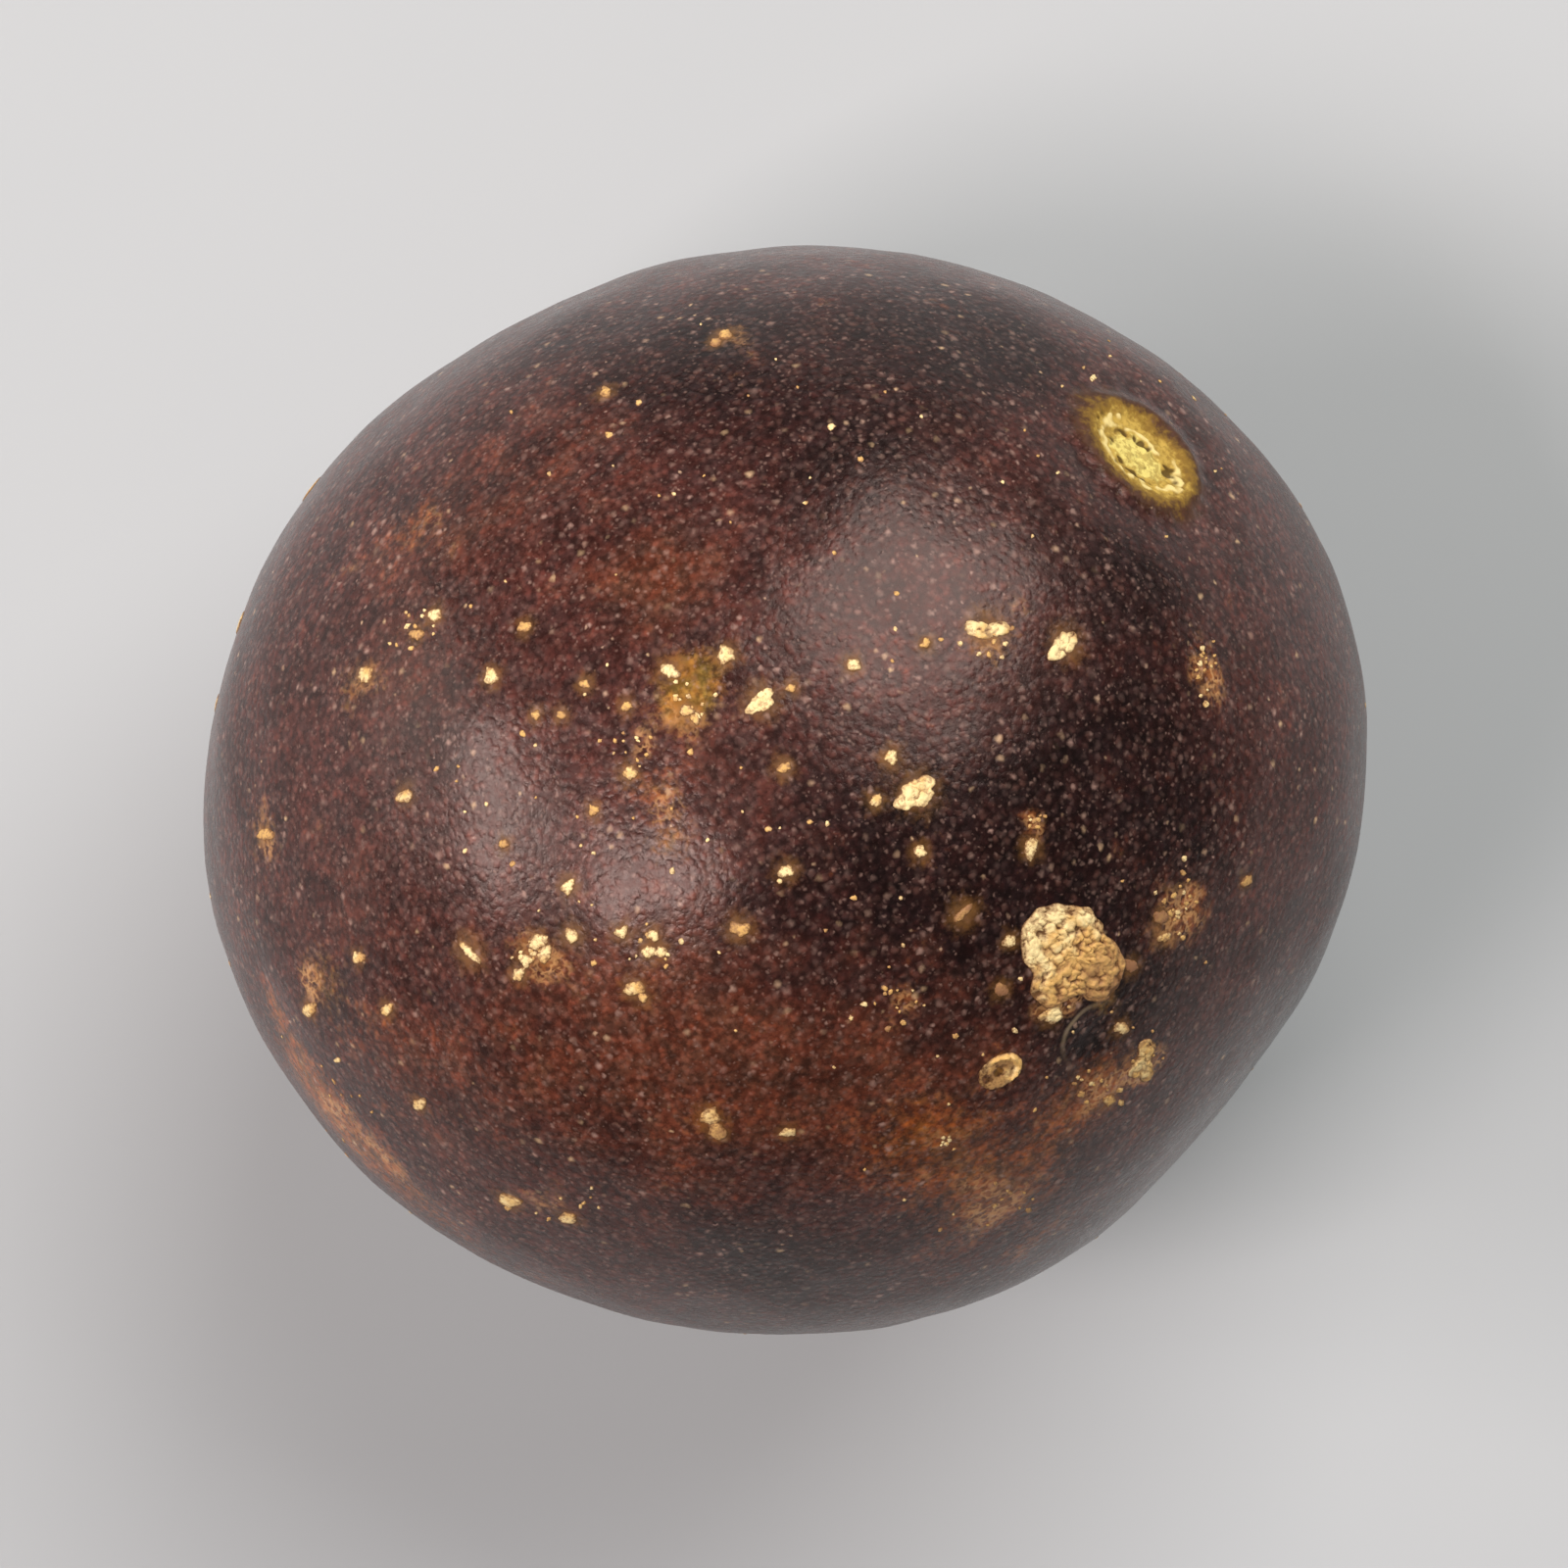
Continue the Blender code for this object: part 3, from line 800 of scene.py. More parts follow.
# %% [markdown]
# ## The knobbly crusts
# A bump in the material could draw the knobs, but at the crust's edge they would show flat, so they are
# shaped, and the large crust has the finest grid. The small ones are chips of the same cork, so they get
# angular edges and fewer rows.

# %% The knobbly crusts
CRUST_ROWS, CRUST_COLUMNS, SMALL_SHARE = 44, 150, 0.42
LARGE_PLATEAU, SMALL_PLATEAU = 5.0, 3.0
crusts = []
for number, (x, y, lobes, height, cell, *_) in enumerate(CRUSTS):
    fineness = SMALL_SHARE if number else 1.0
    around = circle(int(CRUST_COLUMNS * fineness))
    outline = lobed_outline(around, lobes) * MM * ragged(around, 300 + number, 0.036, 24)
    if number:
        outline = outline * chipped(around, 340 + number, 6)

    def knobbly(flat, cell=cell, seed=400 + number):
        knob, crack = knobs(flat, cell * MM, seed)
        return 0.44 + 0.80 * knob - 0.24 * crack

    even = np.linspace(0.0, 1.0, int(CRUST_ROWS * fineness) + 1)[1:]
    crowded_at_rim = even * (1.35 - 0.35 * even)
    plateau = SMALL_PLATEAU if number else LARGE_PLATEAU
    crusts.append(lens(pixel_ray([(x, y)])[0], outline, height * MM, crowded_at_rim, knobbly, plateau))
crust_tones = [row[5] for row in CRUSTS]
crust_drifts = [np.array(row[6:8]) for row in CRUSTS]
print(len(crusts), "crusts")

# %% [markdown]
# ## The ring scar
# Left of the dent an old wound has healed as an oval ring of cork, low on one side, with a floor of cork
# inside it that has two pits. A flattened torus over a disc would show a seam between the two. So it is one
# more lens: a bell just inside the outline makes the ring, and knobs roughen it.

# %% The ring scar
RING_ROWS, RING_COLUMNS = 32, 96
RING_PIXEL, RING_LENGTH, RING_WIDTH, RING_TURN = (802.2, 497.0), 2.24, 1.50, 30.0
RING_HEIGHT, RING_OPENING, RING_TONE = 0.13 * MM, 215.0, 0.36
RIDGE_PLACE, RIDGE_WIDTH, RIDGE_RISE, FLOOR_RISE = 0.8, 0.13, 1.4, 0.50
PITS, PIT_WIDTH = np.array([(-0.62, -0.36), (-0.04, -0.04)]) * MM, 0.17 * MM
around = circle(RING_COLUMNS)
ring_outline = oval_outline(around, RING_LENGTH, RING_WIDTH, RING_TURN) * MM * ragged(around, 802, 0.02)
ring_span = np.concatenate([[1.0], np.tile(ring_outline, 2 * RING_ROWS - 1), [1.0]])


def ring_relief(flat):
    """A ring of knobs that fades at its opening, plus a rough floor less its pits."""
    far, way = np.linalg.norm(flat, axis=1) / ring_span, np.arctan2(flat[:, 1], flat[:, 0])
    closed = np.clip(0.35 + 0.85 * np.cos(way - math.radians(RING_OPENING) - math.pi), 0.0, 1.0)
    knob, _ = knobs(flat, 0.3 * MM, 700)
    pit = hump(np.linalg.norm(flat[:, None] - PITS, axis=2), PIT_WIDTH).max(axis=1)
    ring = hump(far - RIDGE_PLACE, RIDGE_WIDTH) * closed * (0.5 + knob) * RIDGE_RISE
    return ring + FLOOR_RISE * (0.7 + 0.6 * knob - 1.7 * pit)


ring_profile = np.linspace(0.0, 1.0, RING_ROWS + 1)[1:]
ring_ray = pixel_ray([RING_PIXEL])[0]
ring_scar = lens(ring_ray, ring_outline, RING_HEIGHT, ring_profile, ring_relief, LARGE_PLATEAU)
crust = join_lenses("cork_crusts", [*crusts, ring_scar], [*crust_tones, RING_TONE],
                    [*crust_drifts, np.zeros(2)])

# %% [markdown]
# ## Flecks and specks
# The listed flecks lie where the picture shows them. The clusters are drawn by seed round their middles. The
# picture doesn't show the sides and the underside, so a thinner scatter of the same flecks and specks goes on
# there. Copies of one fleck would all have its outline, so each is a lens of its own, with few faces.

# %% One fleck
FLECK_COLUMNS, SPECK_COLUMNS = 24, 10
FLECK_PROFILE, SPECK_PROFILE = np.array([0.3, 0.55, 0.76, 0.91, 1.0]), np.array([0.6, 1.0])
STAINED_RIM, LEAST_SIZE = 1.22, 0.08
flecks, fleck_tones, halo_rays, halo_sizes = [], [], [], []


def add_fleck(ray, length, width, turn, tone, seed, thickness=0.065, rag=0.12, large=False):
    """Adds a thin oval lens and its tone: the outline is an ellipse turned in the picture, times a ragged and
    a chipped factor. It is made wider than the pale heart, because its rim is the brown stain round it. A
    large one has more rows and is also noted for its halo."""
    around = circle(FLECK_COLUMNS if large else SPECK_COLUMNS)
    outline = oval_outline(around, length + LEAST_SIZE, width + LEAST_SIZE, turn) * STAINED_RIM * MM
    outline = outline * ragged(around, seed, rag) * chipped(around, seed)
    flecks.append(lens(ray, outline, thickness * MM, FLECK_PROFILE if large else SPECK_PROFILE))
    fleck_tones.append(tone)
    if large:
        halo_rays.append(ray)
        halo_sizes.append(length)


def near(ray, end, reach):
    """Whether a ray meets the rind within this distance of one of the ends."""
    return angle_to(ray[None], end)[0] * HALF_HIGH < reach


for number, (x, y, length, width, turn, tone) in enumerate(FLECKS):
    ray = pixel_ray([(x, y)])[0]
    add_fleck(ray, length, width, turn, tone, 500 + number, 0.085 + 0.05 * width, 0.09, large=True)
print(len(flecks), "flecks from the picture")

# %% Specks in the clusters
STEM_CLEARANCE = 4.2 * MM
fleck_draw = np.random.default_rng(7)
for x, y, wide, tall, count, tone in CLUSTERS:
    right = x + wide * PIXELS_PER_MM * fleck_draw.normal(size=count) * 0.7
    down = y + tall * PIXELS_PER_MM * fleck_draw.normal(size=count) * 0.7
    for ray in pixel_ray(np.stack([right, down], axis=1)):
        length = 0.08 + 0.24 * fleck_draw.random() ** 2
        width = length * fleck_draw.uniform(0.55, 1.0)
        turn, seed = fleck_draw.uniform(0, 180), int(fleck_draw.integers(1e6))
        if not near(ray, STEM, STEM_CLEARANCE):
            speck_tone = float(np.clip(0.4 * tone + 0.18 * fleck_draw.normal(), 0, 0.6))
            add_fleck(ray, length, width, turn, speck_tone, seed)
print(len(flecks), "with the clusters")

# %% Flecks on the sides and the underside
UNSEEN_FLECKS, LARGE_SHARE, END_CLEARANCE = 260, 0.22, 4.5 * MM
HIGHEST, LOWEST = 0.12, -0.88
for ray in unit(fleck_draw.normal(size=(UNSEEN_FLECKS, 3))):
    large = fleck_draw.random() < LARGE_SHARE
    length = fleck_draw.uniform(0.45, 1.1) if large else fleck_draw.uniform(0.14, 0.34)
    width = length * fleck_draw.uniform(0.45, 1.0)
    turn, seed = fleck_draw.uniform(0, 180), int(fleck_draw.integers(1e6))
    tone = 0.6 * fleck_draw.random() ** 1.3
    at_end = near(ray, STEM, END_CLEARANCE) or near(ray, -STEM, END_CLEARANCE)
    if LOWEST <= ray[2] <= HIGHEST and not at_end:
        add_fleck(ray, length, width, turn, tone, seed, 0.11 if large else 0.065, large=large)
gold_flecks = join_lenses("cork_flecks", flecks, fleck_tones, [np.zeros(2)] * len(flecks))
print(len(flecks), "flecks, of them", len(halo_sizes), "large enough for a halo")

# %% [markdown]
# ## Halos
# Round each fleck and crust the rind is stained gold, because the wound has bleached it. An Ambient
# Occlusion node could find the places beside the cork, but it would find every other nook too. So the rind
# carries one more value: a bell round each of them, as wide as the fleck itself.

# %% Halo strength on the rind
# half-widths in mm round the crusts, in their own order
CRUST_HALOS = [0.1, 0.9, 1.3, 1.1, 1.3, 1.2, 1.1]
halo_middles = rind_points(np.concatenate([np.array(halo_rays), pixel_ray([row[:2] for row in CRUSTS])]))
halo_widths = np.concatenate([0.42 + 0.6 * np.array(halo_sizes), CRUST_HALOS]) * MM
halo = np.zeros(len(rind_surface))
for centre, width in zip(halo_middles, halo_widths):
    halo = np.maximum(halo, hump(np.linalg.norm(rind_surface - centre, axis=1), width))
give_values(rind, "halo", halo)
print(f"{100 * (halo > 0.5).mean():.1f} % of the points lie in a halo")

# %% [markdown]
# The round dent beside the large crust shows as a fine pale arc on its left edge. The rind's points lie too
# far apart to hold so thin a line. So they carry the distance to the dent's middle and a bell at the side
# where the edge shows, and the material draws the arc where the distance equals the dent's radius.

# %% Edge of the round dent
DENT_MIDDLE, DENT_SIDE, DENT_RADIUS, DENT_SIDE_WIDTH = (826.2, 488.0), (818.6, 484.0), 1.66, 1.5 * MM
dent_middle, dent_side = rind_points(pixel_ray([DENT_MIDDLE, DENT_SIDE]))
from_dent = np.linalg.norm(rind_surface - dent_middle, axis=1) / MM
give_values(rind, "from_dent", from_dent)
give_values(rind, "dent_side", hump(np.linalg.norm(rind_surface - dent_side, axis=1), DENT_SIDE_WIDTH))
print((from_dent < DENT_RADIUS).sum(), "points lie in the dent")

# %% [markdown]
# ## Putting a material together
# A material is a chain of small steps: a noise of some size, a threshold, a mix of two colours. They could
# be linked by hand in the shader editor, but a script links a hundred of them in the same way each time. A
# few helpers keep each step to one line. Sizes are given in millimetres, and colours as they look on a
# screen.

# %% Colours as they look on a screen
def paint(red, green, blue):
    """A screen colour, 0 to 255, as the linear colour that the shader takes."""
    share = np.array([red, green, blue]) / 255.0
    linear = np.where(share <= 0.04045, share / 12.92, ((share + 0.055) / 1.055) ** 2.4)
    return (*linear.tolist(), 1.0)


print("middle grey in linear light:", round(paint(128, 128, 128)[0], 3))


# %% A material in the making
class Recipe:
    """A material in the making. Each method adds one step and gives back its result."""

    def __init__(self, name):
        self.material = bpy.data.materials.new(name)
        self.material.use_nodes = True
        self.tree = self.material.node_tree
        self.shader = self.tree.nodes["Principled BSDF"]
        self.place = self.tree.nodes.new("ShaderNodeTexCoord").outputs["Object"]

    def fill(self, socket, value):
        """Links a result to a socket, or sets a number or colour on it."""
        if isinstance(value, bpy.types.NodeSocket):
            self.tree.links.new(value, socket)
        else:
            socket.default_value = value

    def step(self, kind, settings=(), **inputs):
        """Adds a node, sets its options, and fills its sockets with numbers, colours or earlier results. s0
        is the first socket, s1 the second, and other sockets go by their name."""
        node = self.tree.nodes.new(kind)
        for option, value in dict(settings).items():
            setattr(node, option, value)
        for socket, value in inputs.items():
            numbered = socket[0] == "s" and socket[1:].isdigit()
            self.fill(node.inputs[int(socket[1:]) if numbered else socket], value)
        return node

    def value(self, name):
        """One of the piece's own values."""
        return self.step("ShaderNodeAttribute", {"attribute_name": name}).outputs["Fac"]

    def noise(self, size_mm, detail=2.0, roughness=0.5, place=None):
        """Soft random pattern, about 0.2 to 0.8, with features of this size."""
        made = self.step("ShaderNodeTexNoise", Scale=1.0 / (size_mm * MM), Detail=detail,
                         Roughness=roughness, Vector=place or self.place)
        return made.outputs[0]

    def cells(self, size_mm, place):
        """Distance to the nearest of scattered points this far apart, in cells, and three random numbers
        that each cell keeps for itself."""
        made = self.step("ShaderNodeTexVoronoi", Scale=1.0 / (size_mm * MM), Vector=place)
        draws = self.step("ShaderNodeSeparateColor", s0=made.outputs["Color"])
        return made.outputs["Distance"], draws.outputs

    def sums(self, kind, a, b=0.0, c=0.0):
        """Arithmetic on two or three results."""
        return self.step("ShaderNodeMath", {"operation": kind}, s0=a, s1=b, s2=c).outputs[0]

    def times(self, a, b):
        """One result times another."""
        return self.sums("MULTIPLY", a, b)

    def sway(self, pattern, reach):
        """A pattern round a half, made to swing round 0: the pattern times the reach, less half the reach."""
        return self.sums("MULTIPLY_ADD", pattern, reach, -0.5 * reach)

    def rise(self, value, low, high, bottom=0.0, top=1.0):
        """Goes smoothly from bottom to top as the value goes from low to high."""
        made = self.step("ShaderNodeMapRange", {"interpolation_type": "SMOOTHSTEP"}, s0=value, s1=low,
                         s2=high, s3=bottom, s4=top)
        return made.outputs[0]

    def mix(self, first, second, share, kind="MIX"):
        """Mixes two colours by a share."""
        made = self.step("ShaderNodeMix", {"data_type": "RGBA", "blend_type": kind}, s0=share, s6=first,
                         s7=second)
        return made.outputs[2]

    def warped(self, size_mm, reach_mm):
        """The place moved about by a noise, so that patterns on it lose their straight and round edges."""
        drift = self.step("ShaderNodeTexNoise", Scale=1.0 / (size_mm * MM), Detail=2.0, Vector=self.place)
        moved = self.step("ShaderNodeVectorMath", {"operation": "SUBTRACT"}, s0=drift.outputs[1],
                          s1=(0.5, 0.5, 0.5))
        moved = self.step("ShaderNodeVectorMath", {"operation": "SCALE"}, s0=moved.outputs[0],
                          s3=2.0 * reach_mm * MM)
        moved = self.step("ShaderNodeVectorMath", {"operation": "ADD"}, s0=self.place, s1=moved.outputs[0])
        return moved.outputs[0]

    def serve(self, piece, sockets):
        """Fills the shader's sockets and gives the finished material to a piece."""
        for name, value in sockets.items():
            self.fill(self.shader.inputs[name], value)
        piece.data.materials.append(self.material)
        print(f"{self.material.name}: {len(self.tree.nodes)} steps on {piece.name}")


# %% [markdown]
# ## The rind's ground colours
# Ripe rind is aubergine with a waxy satin skin. Under the wax lie thousands of pale pores, a few tenths of
# a millimetre wide, so from near it looks like fine sparkling sand. A picture laid on the rind would bring
# its own light along and know one side only, so the colours come from noises and from the values on the
# points. The ground colours are first: each stain is pushed up and down by a noise before its edge is
# taken, so that no bell shows as a disc. Then the ground darkens in the gaps between fine pebbles and
# lightens on them, with pinkish grey on some tops: painted shade and painted glints that follow the bump.

# %% Ground colours
AUBERGINE, DARK_AND_PAINTED_SHADE = paint(70, 40, 36), paint(34, 18, 18)
RUST, AMBER, OLIVE = paint(92, 51, 34), paint(142, 80, 28), paint(150, 112, 46)
PEBBLE_PAINTED_GLINT = paint(128, 98, 88)
REDDER, BLUER = (1.14, 0.95, 0.88, 1.0), (0.90, 1.04, 1.08, 1.0)

skin = Recipe("rind_skin")
big, middling, fine = skin.noise(11.0, 3.0), skin.noise(2.8, 4.0, 0.6), skin.noise(0.42, 3.0, 0.6)
patchy = skin.times(skin.sums("ADD", fine, middling), 0.5)
crooked = skin.warped(0.35, 0.15)


def stained(name, drift, reach, low, high):
    """Share of one stain: its value, pushed up and down by a noise, then sharpened between two levels."""
    pushed = skin.sums("MULTIPLY_ADD", skin.sums("SUBTRACT", drift, 0.5), reach, skin.value(name))
    return skin.rise(pushed, low, high)


# near-black ground: ripe colour, and painted shade near the top and bottom rims and round the large crust
ground = skin.mix(AUBERGINE, DARK_AND_PAINTED_SHADE, stained("dark_and_painted_shade", big, 1.3, 0.05, 1.0))
for name, colour, drift, push, low, high in (
    ("rust", RUST, middling, 1.9, 0.1, 1.3),
    ("amber", AMBER, patchy, 2.4, 0.2, 1.3),
    ("olive", OLIVE, fine, 1.2, 0.2, 1.2),
):
    ground = skin.mix(ground, colour, skin.times(stained(name, drift, push, low, high), 0.8))
print("ground colours:", len(skin.tree.nodes), "steps")

# %% Pebbles, with painted glints on them and painted shade between them
pebble_gap, pebble_draw = skin.cells(0.37, crooked)
pebble = skin.rise(pebble_gap, 0.75, 0.05)
shade = skin.times(skin.rise(middling, 0.3, 0.7, 0.70, 1.32), skin.rise(fine, 0.36, 0.66, 0.64, 1.34))
# darker between the pebbles and lighter on them: painted shade and painted glints of the bump's pebbles
shade = skin.times(shade, skin.rise(pebble, 0.0, 1.0, 0.74, 1.2))
grey = skin.step("ShaderNodeCombineColor", s0=shade, s1=shade, s2=shade).outputs[0]
ground = skin.mix(ground, grey, 1.0, "MULTIPLY")
# pinkish grey on some pebble tops: a painted glint
ground = skin.mix(ground, PEBBLE_PAINTED_GLINT, skin.times(pebble, skin.rise(pebble_draw[0], 0.3, 1.0, 0.0, 0.26)))
tint = skin.mix(REDDER, BLUER, skin.rise(skin.noise(0.8, 2.0, 0.6), 0.35, 0.65))
ground = skin.mix(ground, tint, 1.0, "MULTIPLY")
print("with pebbles:", len(skin.tree.nodes), "steps")

# %% [markdown]
# Russet is cork that has only begun: a brown bloom with a pale net of fine cracks in it. A cell pattern
# would give straight cracks. Instead a noise is folded at its middle, and the fold line gives a net that
# wanders.

# %% Russet net
RUSSET, RUSSET_PALE = paint(154, 98, 58), paint(210, 160, 104)
fold = skin.sums("ABSOLUTE", skin.sway(skin.noise(0.62, 2.0, 0.55, crooked), 2.0))
net = skin.rise(fold, 0.20, 0.0)
russet = stained("russet", middling, 2.2, 0.35, 1.05)
ground = skin.mix(ground, RUSSET, skin.times(russet, skin.rise(fine, 0.4, 0.65, 0.05, 0.5)))
ground = skin.mix(ground, RUSSET_PALE, skin.times(russet, skin.times(net, 0.75)))
print("with russet:", len(skin.tree.nodes), "steps")

# %% [markdown]
# Modelled one by one, the pores would take millions of faces. So they are the middles of two sets of
# scattered cells, large and sparse or small and dense. Each cell draws its own dot, so their size, strength
# and colour vary, and a slow noise lets them come and go in drifts.

# %% Pores
PORE_DULL, PORE_BRIGHT = paint(172, 140, 126), paint(232, 196, 150)


def pores(size_mm, narrow, wide, faint, strong):
    """Pale dots this far apart: each cell draws its dot's width and strength, and the dot fades over its
    edge. The third draw is left for its colour."""
    gap, draw = skin.cells(size_mm, crooked)
    width = skin.rise(draw[0], 0.0, 1.0, narrow, wide)
    dot = skin.rise(skin.sums("DIVIDE", gap, width), 1.0, 0.0)
    return skin.times(dot, skin.rise(draw[1], 0.2, 1.0, faint, strong)), draw[2]


drifts_of_pores = skin.rise(skin.noise(4.2, 2.0), 0.38, 0.62, 0.35, 1.0)
pore_strength, pore_draw = pores(0.56, 0.20, 0.48, 0.0, 1.0)
small_strength, _ = pores(0.25, 0.25, 0.60, 0.05, 0.7)
pore_colour = skin.mix(PORE_DULL, PORE_BRIGHT, skin.rise(pore_draw, 0.7, 1.0))
pored = skin.mix(ground, PORE_DULL, skin.times(small_strength, 0.5))
pored = skin.mix(pored, pore_colour, skin.times(pore_strength, skin.times(drifts_of_pores, 0.85)))
print("with pores:", len(skin.tree.nodes), "steps")

# %% [markdown]
# Gold halos lie over the pores, because the wound has taken the colour out of them too. The dent's edge is a
# thin line, and the blossom tip darkens in two steps towards its dry stub.

# %% Halos, the dent's edge and the blossom tip
HALO_GOLD, DENT_EDGE = paint(126, 88, 42), paint(150, 132, 104)
TIP_BROWN, STUB_BROWN = paint(112, 78, 50), paint(74, 50, 34)
haloed = skin.mix(pored, HALO_GOLD, skin.times(stained("halo", fine, 1.1, 0.2, 1.15), 0.66))
off_edge = skin.sums("MULTIPLY_ADD", middling, 0.5, -0.25 - DENT_RADIUS)
off_edge = skin.sums("ABSOLUTE", skin.sums("ADD", skin.value("from_dent"), off_edge))
dent_line = skin.rise(off_edge, 0.20, 0.02, 0.0, 0.75)
haloed = skin.mix(haloed, DENT_EDGE, skin.times(dent_line, skin.value("dent_side")))
tip = skin.sums("ADD", skin.value("from_blossom"), skin.sway(fine, 1.4))
haloed = skin.mix(haloed, TIP_BROWN, skin.rise(tip, 2.3, 0.9, 0.0, 0.7))
haloed = skin.mix(haloed, STUB_BROWN, skin.rise(tip, 0.95, 0.5, 0.0, 0.9))
print("with halos and tip:", len(skin.tree.nodes), "steps")

# %% [markdown]
# The stem scar goes from brown at its edge through amber and gold to a pale heart. Its edge is frayed by
# two noises. The ridges are painted palest and the slits darkest, from the same values that shaped them, so
# colour and shape can't come apart.

# %% The stem scar's colours
SCAR_BROWN, SCAR_AMBER, SCAR_SLIT = paint(80, 52, 28), paint(144, 112, 40), paint(84, 62, 14)
SCAR_GOLD, SCAR_PALE, SCAR_RIDGE = paint(200, 168, 78), paint(240, 224, 128), paint(244, 224, 148)
reach = skin.sums("ADD", skin.value("from_stem"), skin.sway(skin.noise(1.3, 3.0, 0.6), 1.4))
frayed = skin.sums("ADD", reach, skin.sway(skin.noise(0.45, 3.0, 0.65, crooked), 1.8))
scar = haloed
for colour, outer, inner, most in (
    (SCAR_BROWN, 4.3, 3.1, 0.8), (SCAR_AMBER, 3.4, 2.6, 0.9), (SCAR_GOLD, 2.7, 2.1, 1.0),
    (SCAR_PALE, 1.6, 1.0, 0.92),
):
    scar = skin.mix(scar, colour, skin.rise(frayed, outer, inner, 0.0, most))
fleshy = skin.rise(skin.noise(0.4, 3.0, 0.65), 0.44, 0.60, 0.0, 0.55)
scar = skin.mix(scar, SCAR_AMBER, skin.times(skin.rise(reach, 3.0, 2.2), fleshy))
scar = skin.mix(scar, SCAR_RIDGE, skin.rise(skin.value("ridge"), 0.2, 0.8, 0.0, 0.9))
slit_share = skin.times(skin.rise(skin.value("groove"), 0.12, 0.7), skin.rise(reach, 3.6, 2.9, 0.0, 0.92))
finished = skin.mix(scar, SCAR_SLIT, slit_share)
print("with the stem scar:", len(skin.tree.nodes), "steps")

# %% [markdown]
# Wax makes the rind satin, with broad and dull highlights. The scar and the halos are dry, so they are
# rougher. The finest relief, pebbles and grain under two hundredths of a millimetre, could only be shaped
# on a grid many times as fine, and from no distance would its outline show. So it is a bump.

# %% Gloss and the finest relief
BUMP_HEIGHT = 0.017 * MM
dry_scar = skin.rise(skin.rise(reach, 4.2, 3.0), 0.0, 1.0, 0.0, 0.72)
dry_halo = skin.rise(skin.value("halo"), 0.3, 1.0, 0.0, 0.62)
rough = skin.sums("MAXIMUM", skin.rise(fine, 0.3, 0.7, 0.24, 0.32), dry_scar)
rough = skin.sums("MAXIMUM", rough, dry_halo)
pitted = skin.sums("MULTIPLY_ADD", pebble, 0.7, skin.times(fine, 0.9))
pitted = skin.sums("MULTIPLY_ADD", skin.noise(0.16, 2.0, 0.6), 0.35, pitted)
bump = skin.step("ShaderNodeBump", Strength=1.0, Distance=BUMP_HEIGHT, Height=pitted)
skin.serve(rind, {"Base Color": finished, "Roughness": rough, "Normal": bump.outputs[0], "IOR": 1.38,
                  "Specular Tint": paint(255, 236, 226)})

# %% [markdown]
# ## The cork's finish
# Dry cork is matt and straw-coloured, paler on its knobs and brown in its cracks. A material for each fleck
# would make hundreds of them. Instead the lens gives each point its rise over the rind and each fleck its
# own tone, so two materials serve all the cork, and no two flecks match.

# %% Cork colours
CORK_PALE, CORK_GOLD = paint(250, 228, 164), paint(222, 178, 102)
CORK_BROWN, CORK_CRACK, RIM_STAIN = paint(150, 106, 70), paint(104, 68, 30), paint(116, 78, 34)
CORK_BUMP = 0.03 * MM


def cork_finish(piece, name, brown_edge, dark_edge, dark_colour, unrest):
    """Cork of one kind. The tone chooses pale, gold or brown. Where the rise over the rind falls through the
    first pair of levels it turns brown, and through the second pair it turns to the dark colour. The fine
    grain moves the rise up and down by its unrest before that."""
    cork = Recipe(name)
    fine_grain = cork.noise(0.15, 3.0, 0.6)
    tone = cork.sums("ADD", cork.value("tone"), cork.sway(cork.noise(0.9, 2.0), 1.0))
    colour = cork.mix(CORK_PALE, CORK_GOLD, cork.rise(tone, 0.0, 0.35))
    colour = cork.mix(colour, CORK_BROWN, cork.rise(tone, 0.3, 0.95))
    level = cork.sums("ADD", cork.value("rise"), cork.sway(fine_grain, unrest))
    colour = cork.mix(colour, CORK_BROWN, cork.rise(level, *brown_edge, 0.0, 0.6))
    colour = cork.mix(colour, dark_colour, cork.rise(level, *dark_edge, 0.0, 0.95))
    bump = cork.step("ShaderNodeBump", Strength=1.0, Distance=CORK_BUMP, Height=fine_grain)
    rough = cork.rise(fine_grain, 0.3, 0.7, 0.6, 0.85)
    cork.serve(piece, {"Base Color": colour, "Roughness": rough, "Normal": bump.outputs[0]})


cork_finish(crust, "dry_cork", (0.80, 0.50), (0.50, 0.22), CORK_CRACK, 0.9)
cork_finish(gold_flecks, "gold_cork", (1.0, 0.72), (0.80, 0.42), RIM_STAIN, 1.5)

# %% [markdown]
# ## Floor, light and camera
# The floor is plain and pale. Point lights would give small hard highlights, so all the lights are areas, as
# a studio's soft ones are. A large one gives the broad, dull highlight at the picture's upper right. Two
# smaller ones close together give the highlight with two lobes at its left, and a weak one lights the left
# rim. The pale surroundings fill the rest. The camera looks straight down and is turned so that the stem
# end lies at the upper right.

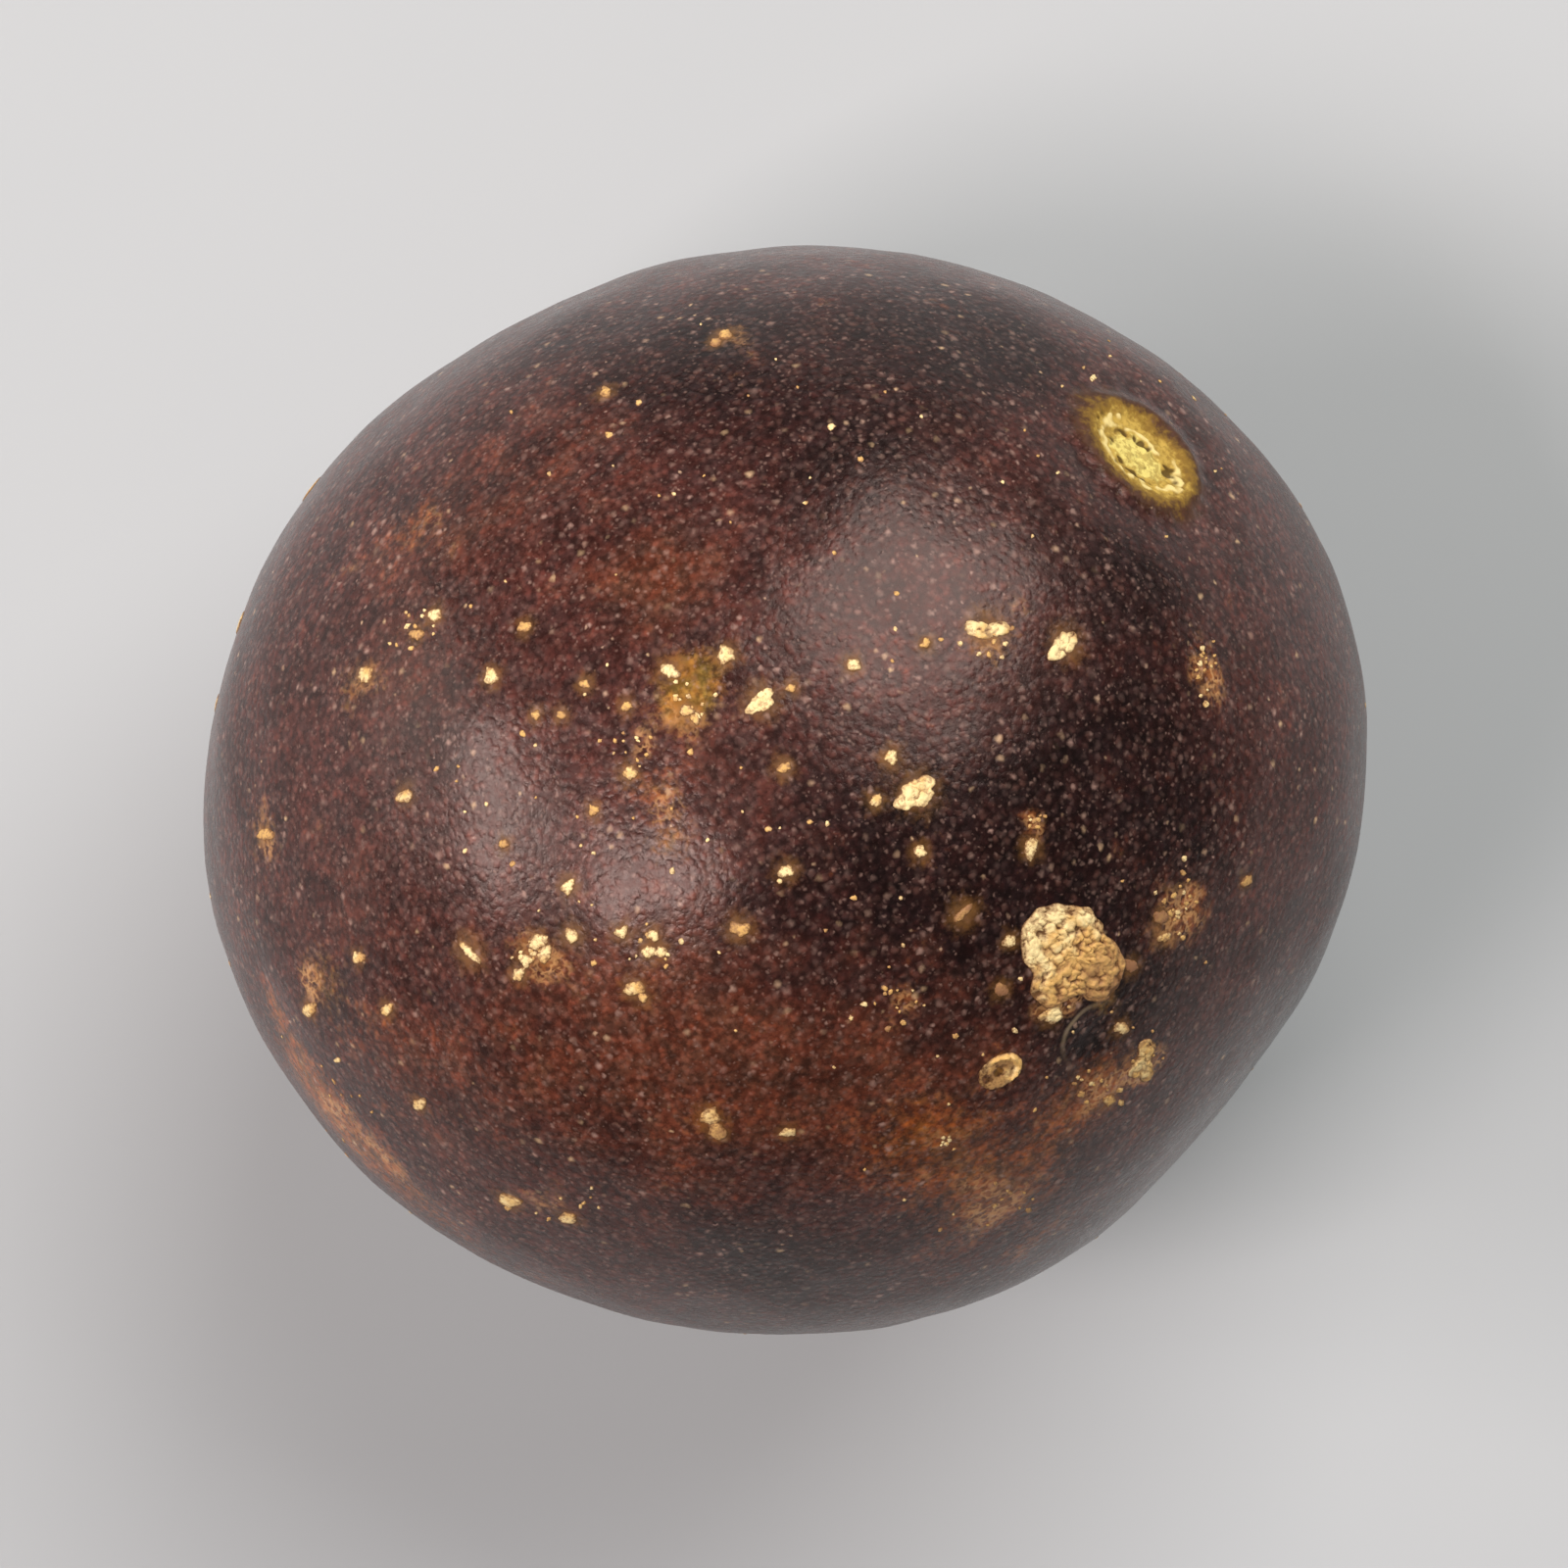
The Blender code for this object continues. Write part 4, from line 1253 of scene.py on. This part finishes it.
# %% Floor
FLOOR_HALF = 3.0
floor_corners = [(-FLOOR_HALF, -FLOOR_HALF, 0), (FLOOR_HALF, -FLOOR_HALF, 0), (FLOOR_HALF, FLOOR_HALF, 0),
                 (-FLOOR_HALF, FLOOR_HALF, 0)]
floor_mesh = bpy.data.meshes.new("floor")
floor_mesh.from_pydata(floor_corners, [], [(0, 1, 2, 3)])
floor = bpy.data.objects.new("floor", floor_mesh)
bpy.context.scene.collection.objects.link(floor)
matt = Recipe("pale_floor")
floor_colour = matt.mix(paint(182, 189, 190), paint(186, 192, 192), matt.noise(30.0))
matt.serve(floor, {"Base Color": floor_colour, "Roughness": 0.9})

# %% Lights: direction in the picture's axes, side in metres, watts, tint
LIGHTS = {
    "key_light": ((0.31, 0.62, 0.72), 0.68, 8.6, (1.0, 0.94, 0.93)),
    "second_light": ((-0.48, -0.19, 0.86), 0.27, 4.0, (1.0, 0.86, 0.86)),
    "third_light": ((-0.87, -0.01, 0.50), 0.27, 3.2, (1.0, 0.88, 0.87)),
    "left_strip": ((-1.0, 0.25, 0.12), 0.5, 1.7, (1.0, 0.95, 0.92)),
}
LIGHT_DISTANCE = 0.9
FRUIT_MIDDLE = UPWARDS * high_corner[2] / 2
for name, (towards, side, watts, tint) in LIGHTS.items():
    lamp = bpy.data.lights.new(name, "AREA")
    lamp.shape, lamp.size, lamp.energy, lamp.color = "SQUARE", side, watts, tint
    light = bpy.data.objects.new(name, lamp)
    way = unit(from_view(*towards))
    light.location = FRUIT_MIDDLE + LIGHT_DISTANCE * way
    light.rotation_euler = Vector(way).to_track_quat("Z", "Y").to_euler()
    bpy.context.scene.collection.objects.link(light)
    print(f"{name}: {watts} W, {math.degrees(math.asin(way[2])):.0f} degrees up")

# %% Surroundings
SKY_COLOUR, SKY_STRENGTH = (1.0, 0.985, 0.97, 1.0), 0.14
world = bpy.data.worlds.new("studio")
world.use_nodes = True
background = world.node_tree.nodes["Background"]
background.inputs["Color"].default_value = SKY_COLOUR
background.inputs["Strength"].default_value = SKY_STRENGTH
bpy.context.scene.world = world
bpy.context.scene.view_settings.view_transform = "Standard"
print("surroundings' strength:", SKY_STRENGTH)

# %% Camera
camera_data = bpy.data.cameras.new("camera")
camera_data.lens, camera_data.sensor_width = LENS_MM, SENSOR_MM
camera = bpy.data.objects.new("camera", camera_data)
camera.location = (0.0, 0.0, high_corner[2] / 2 + CAMERA_DISTANCE)
camera.rotation_euler = (0.0, 0.0, -VIEW_TURN)
bpy.context.scene.collection.objects.link(camera)
bpy.context.scene.camera = camera
print("camera height in mm:", round(camera.location.z / MM, 1))
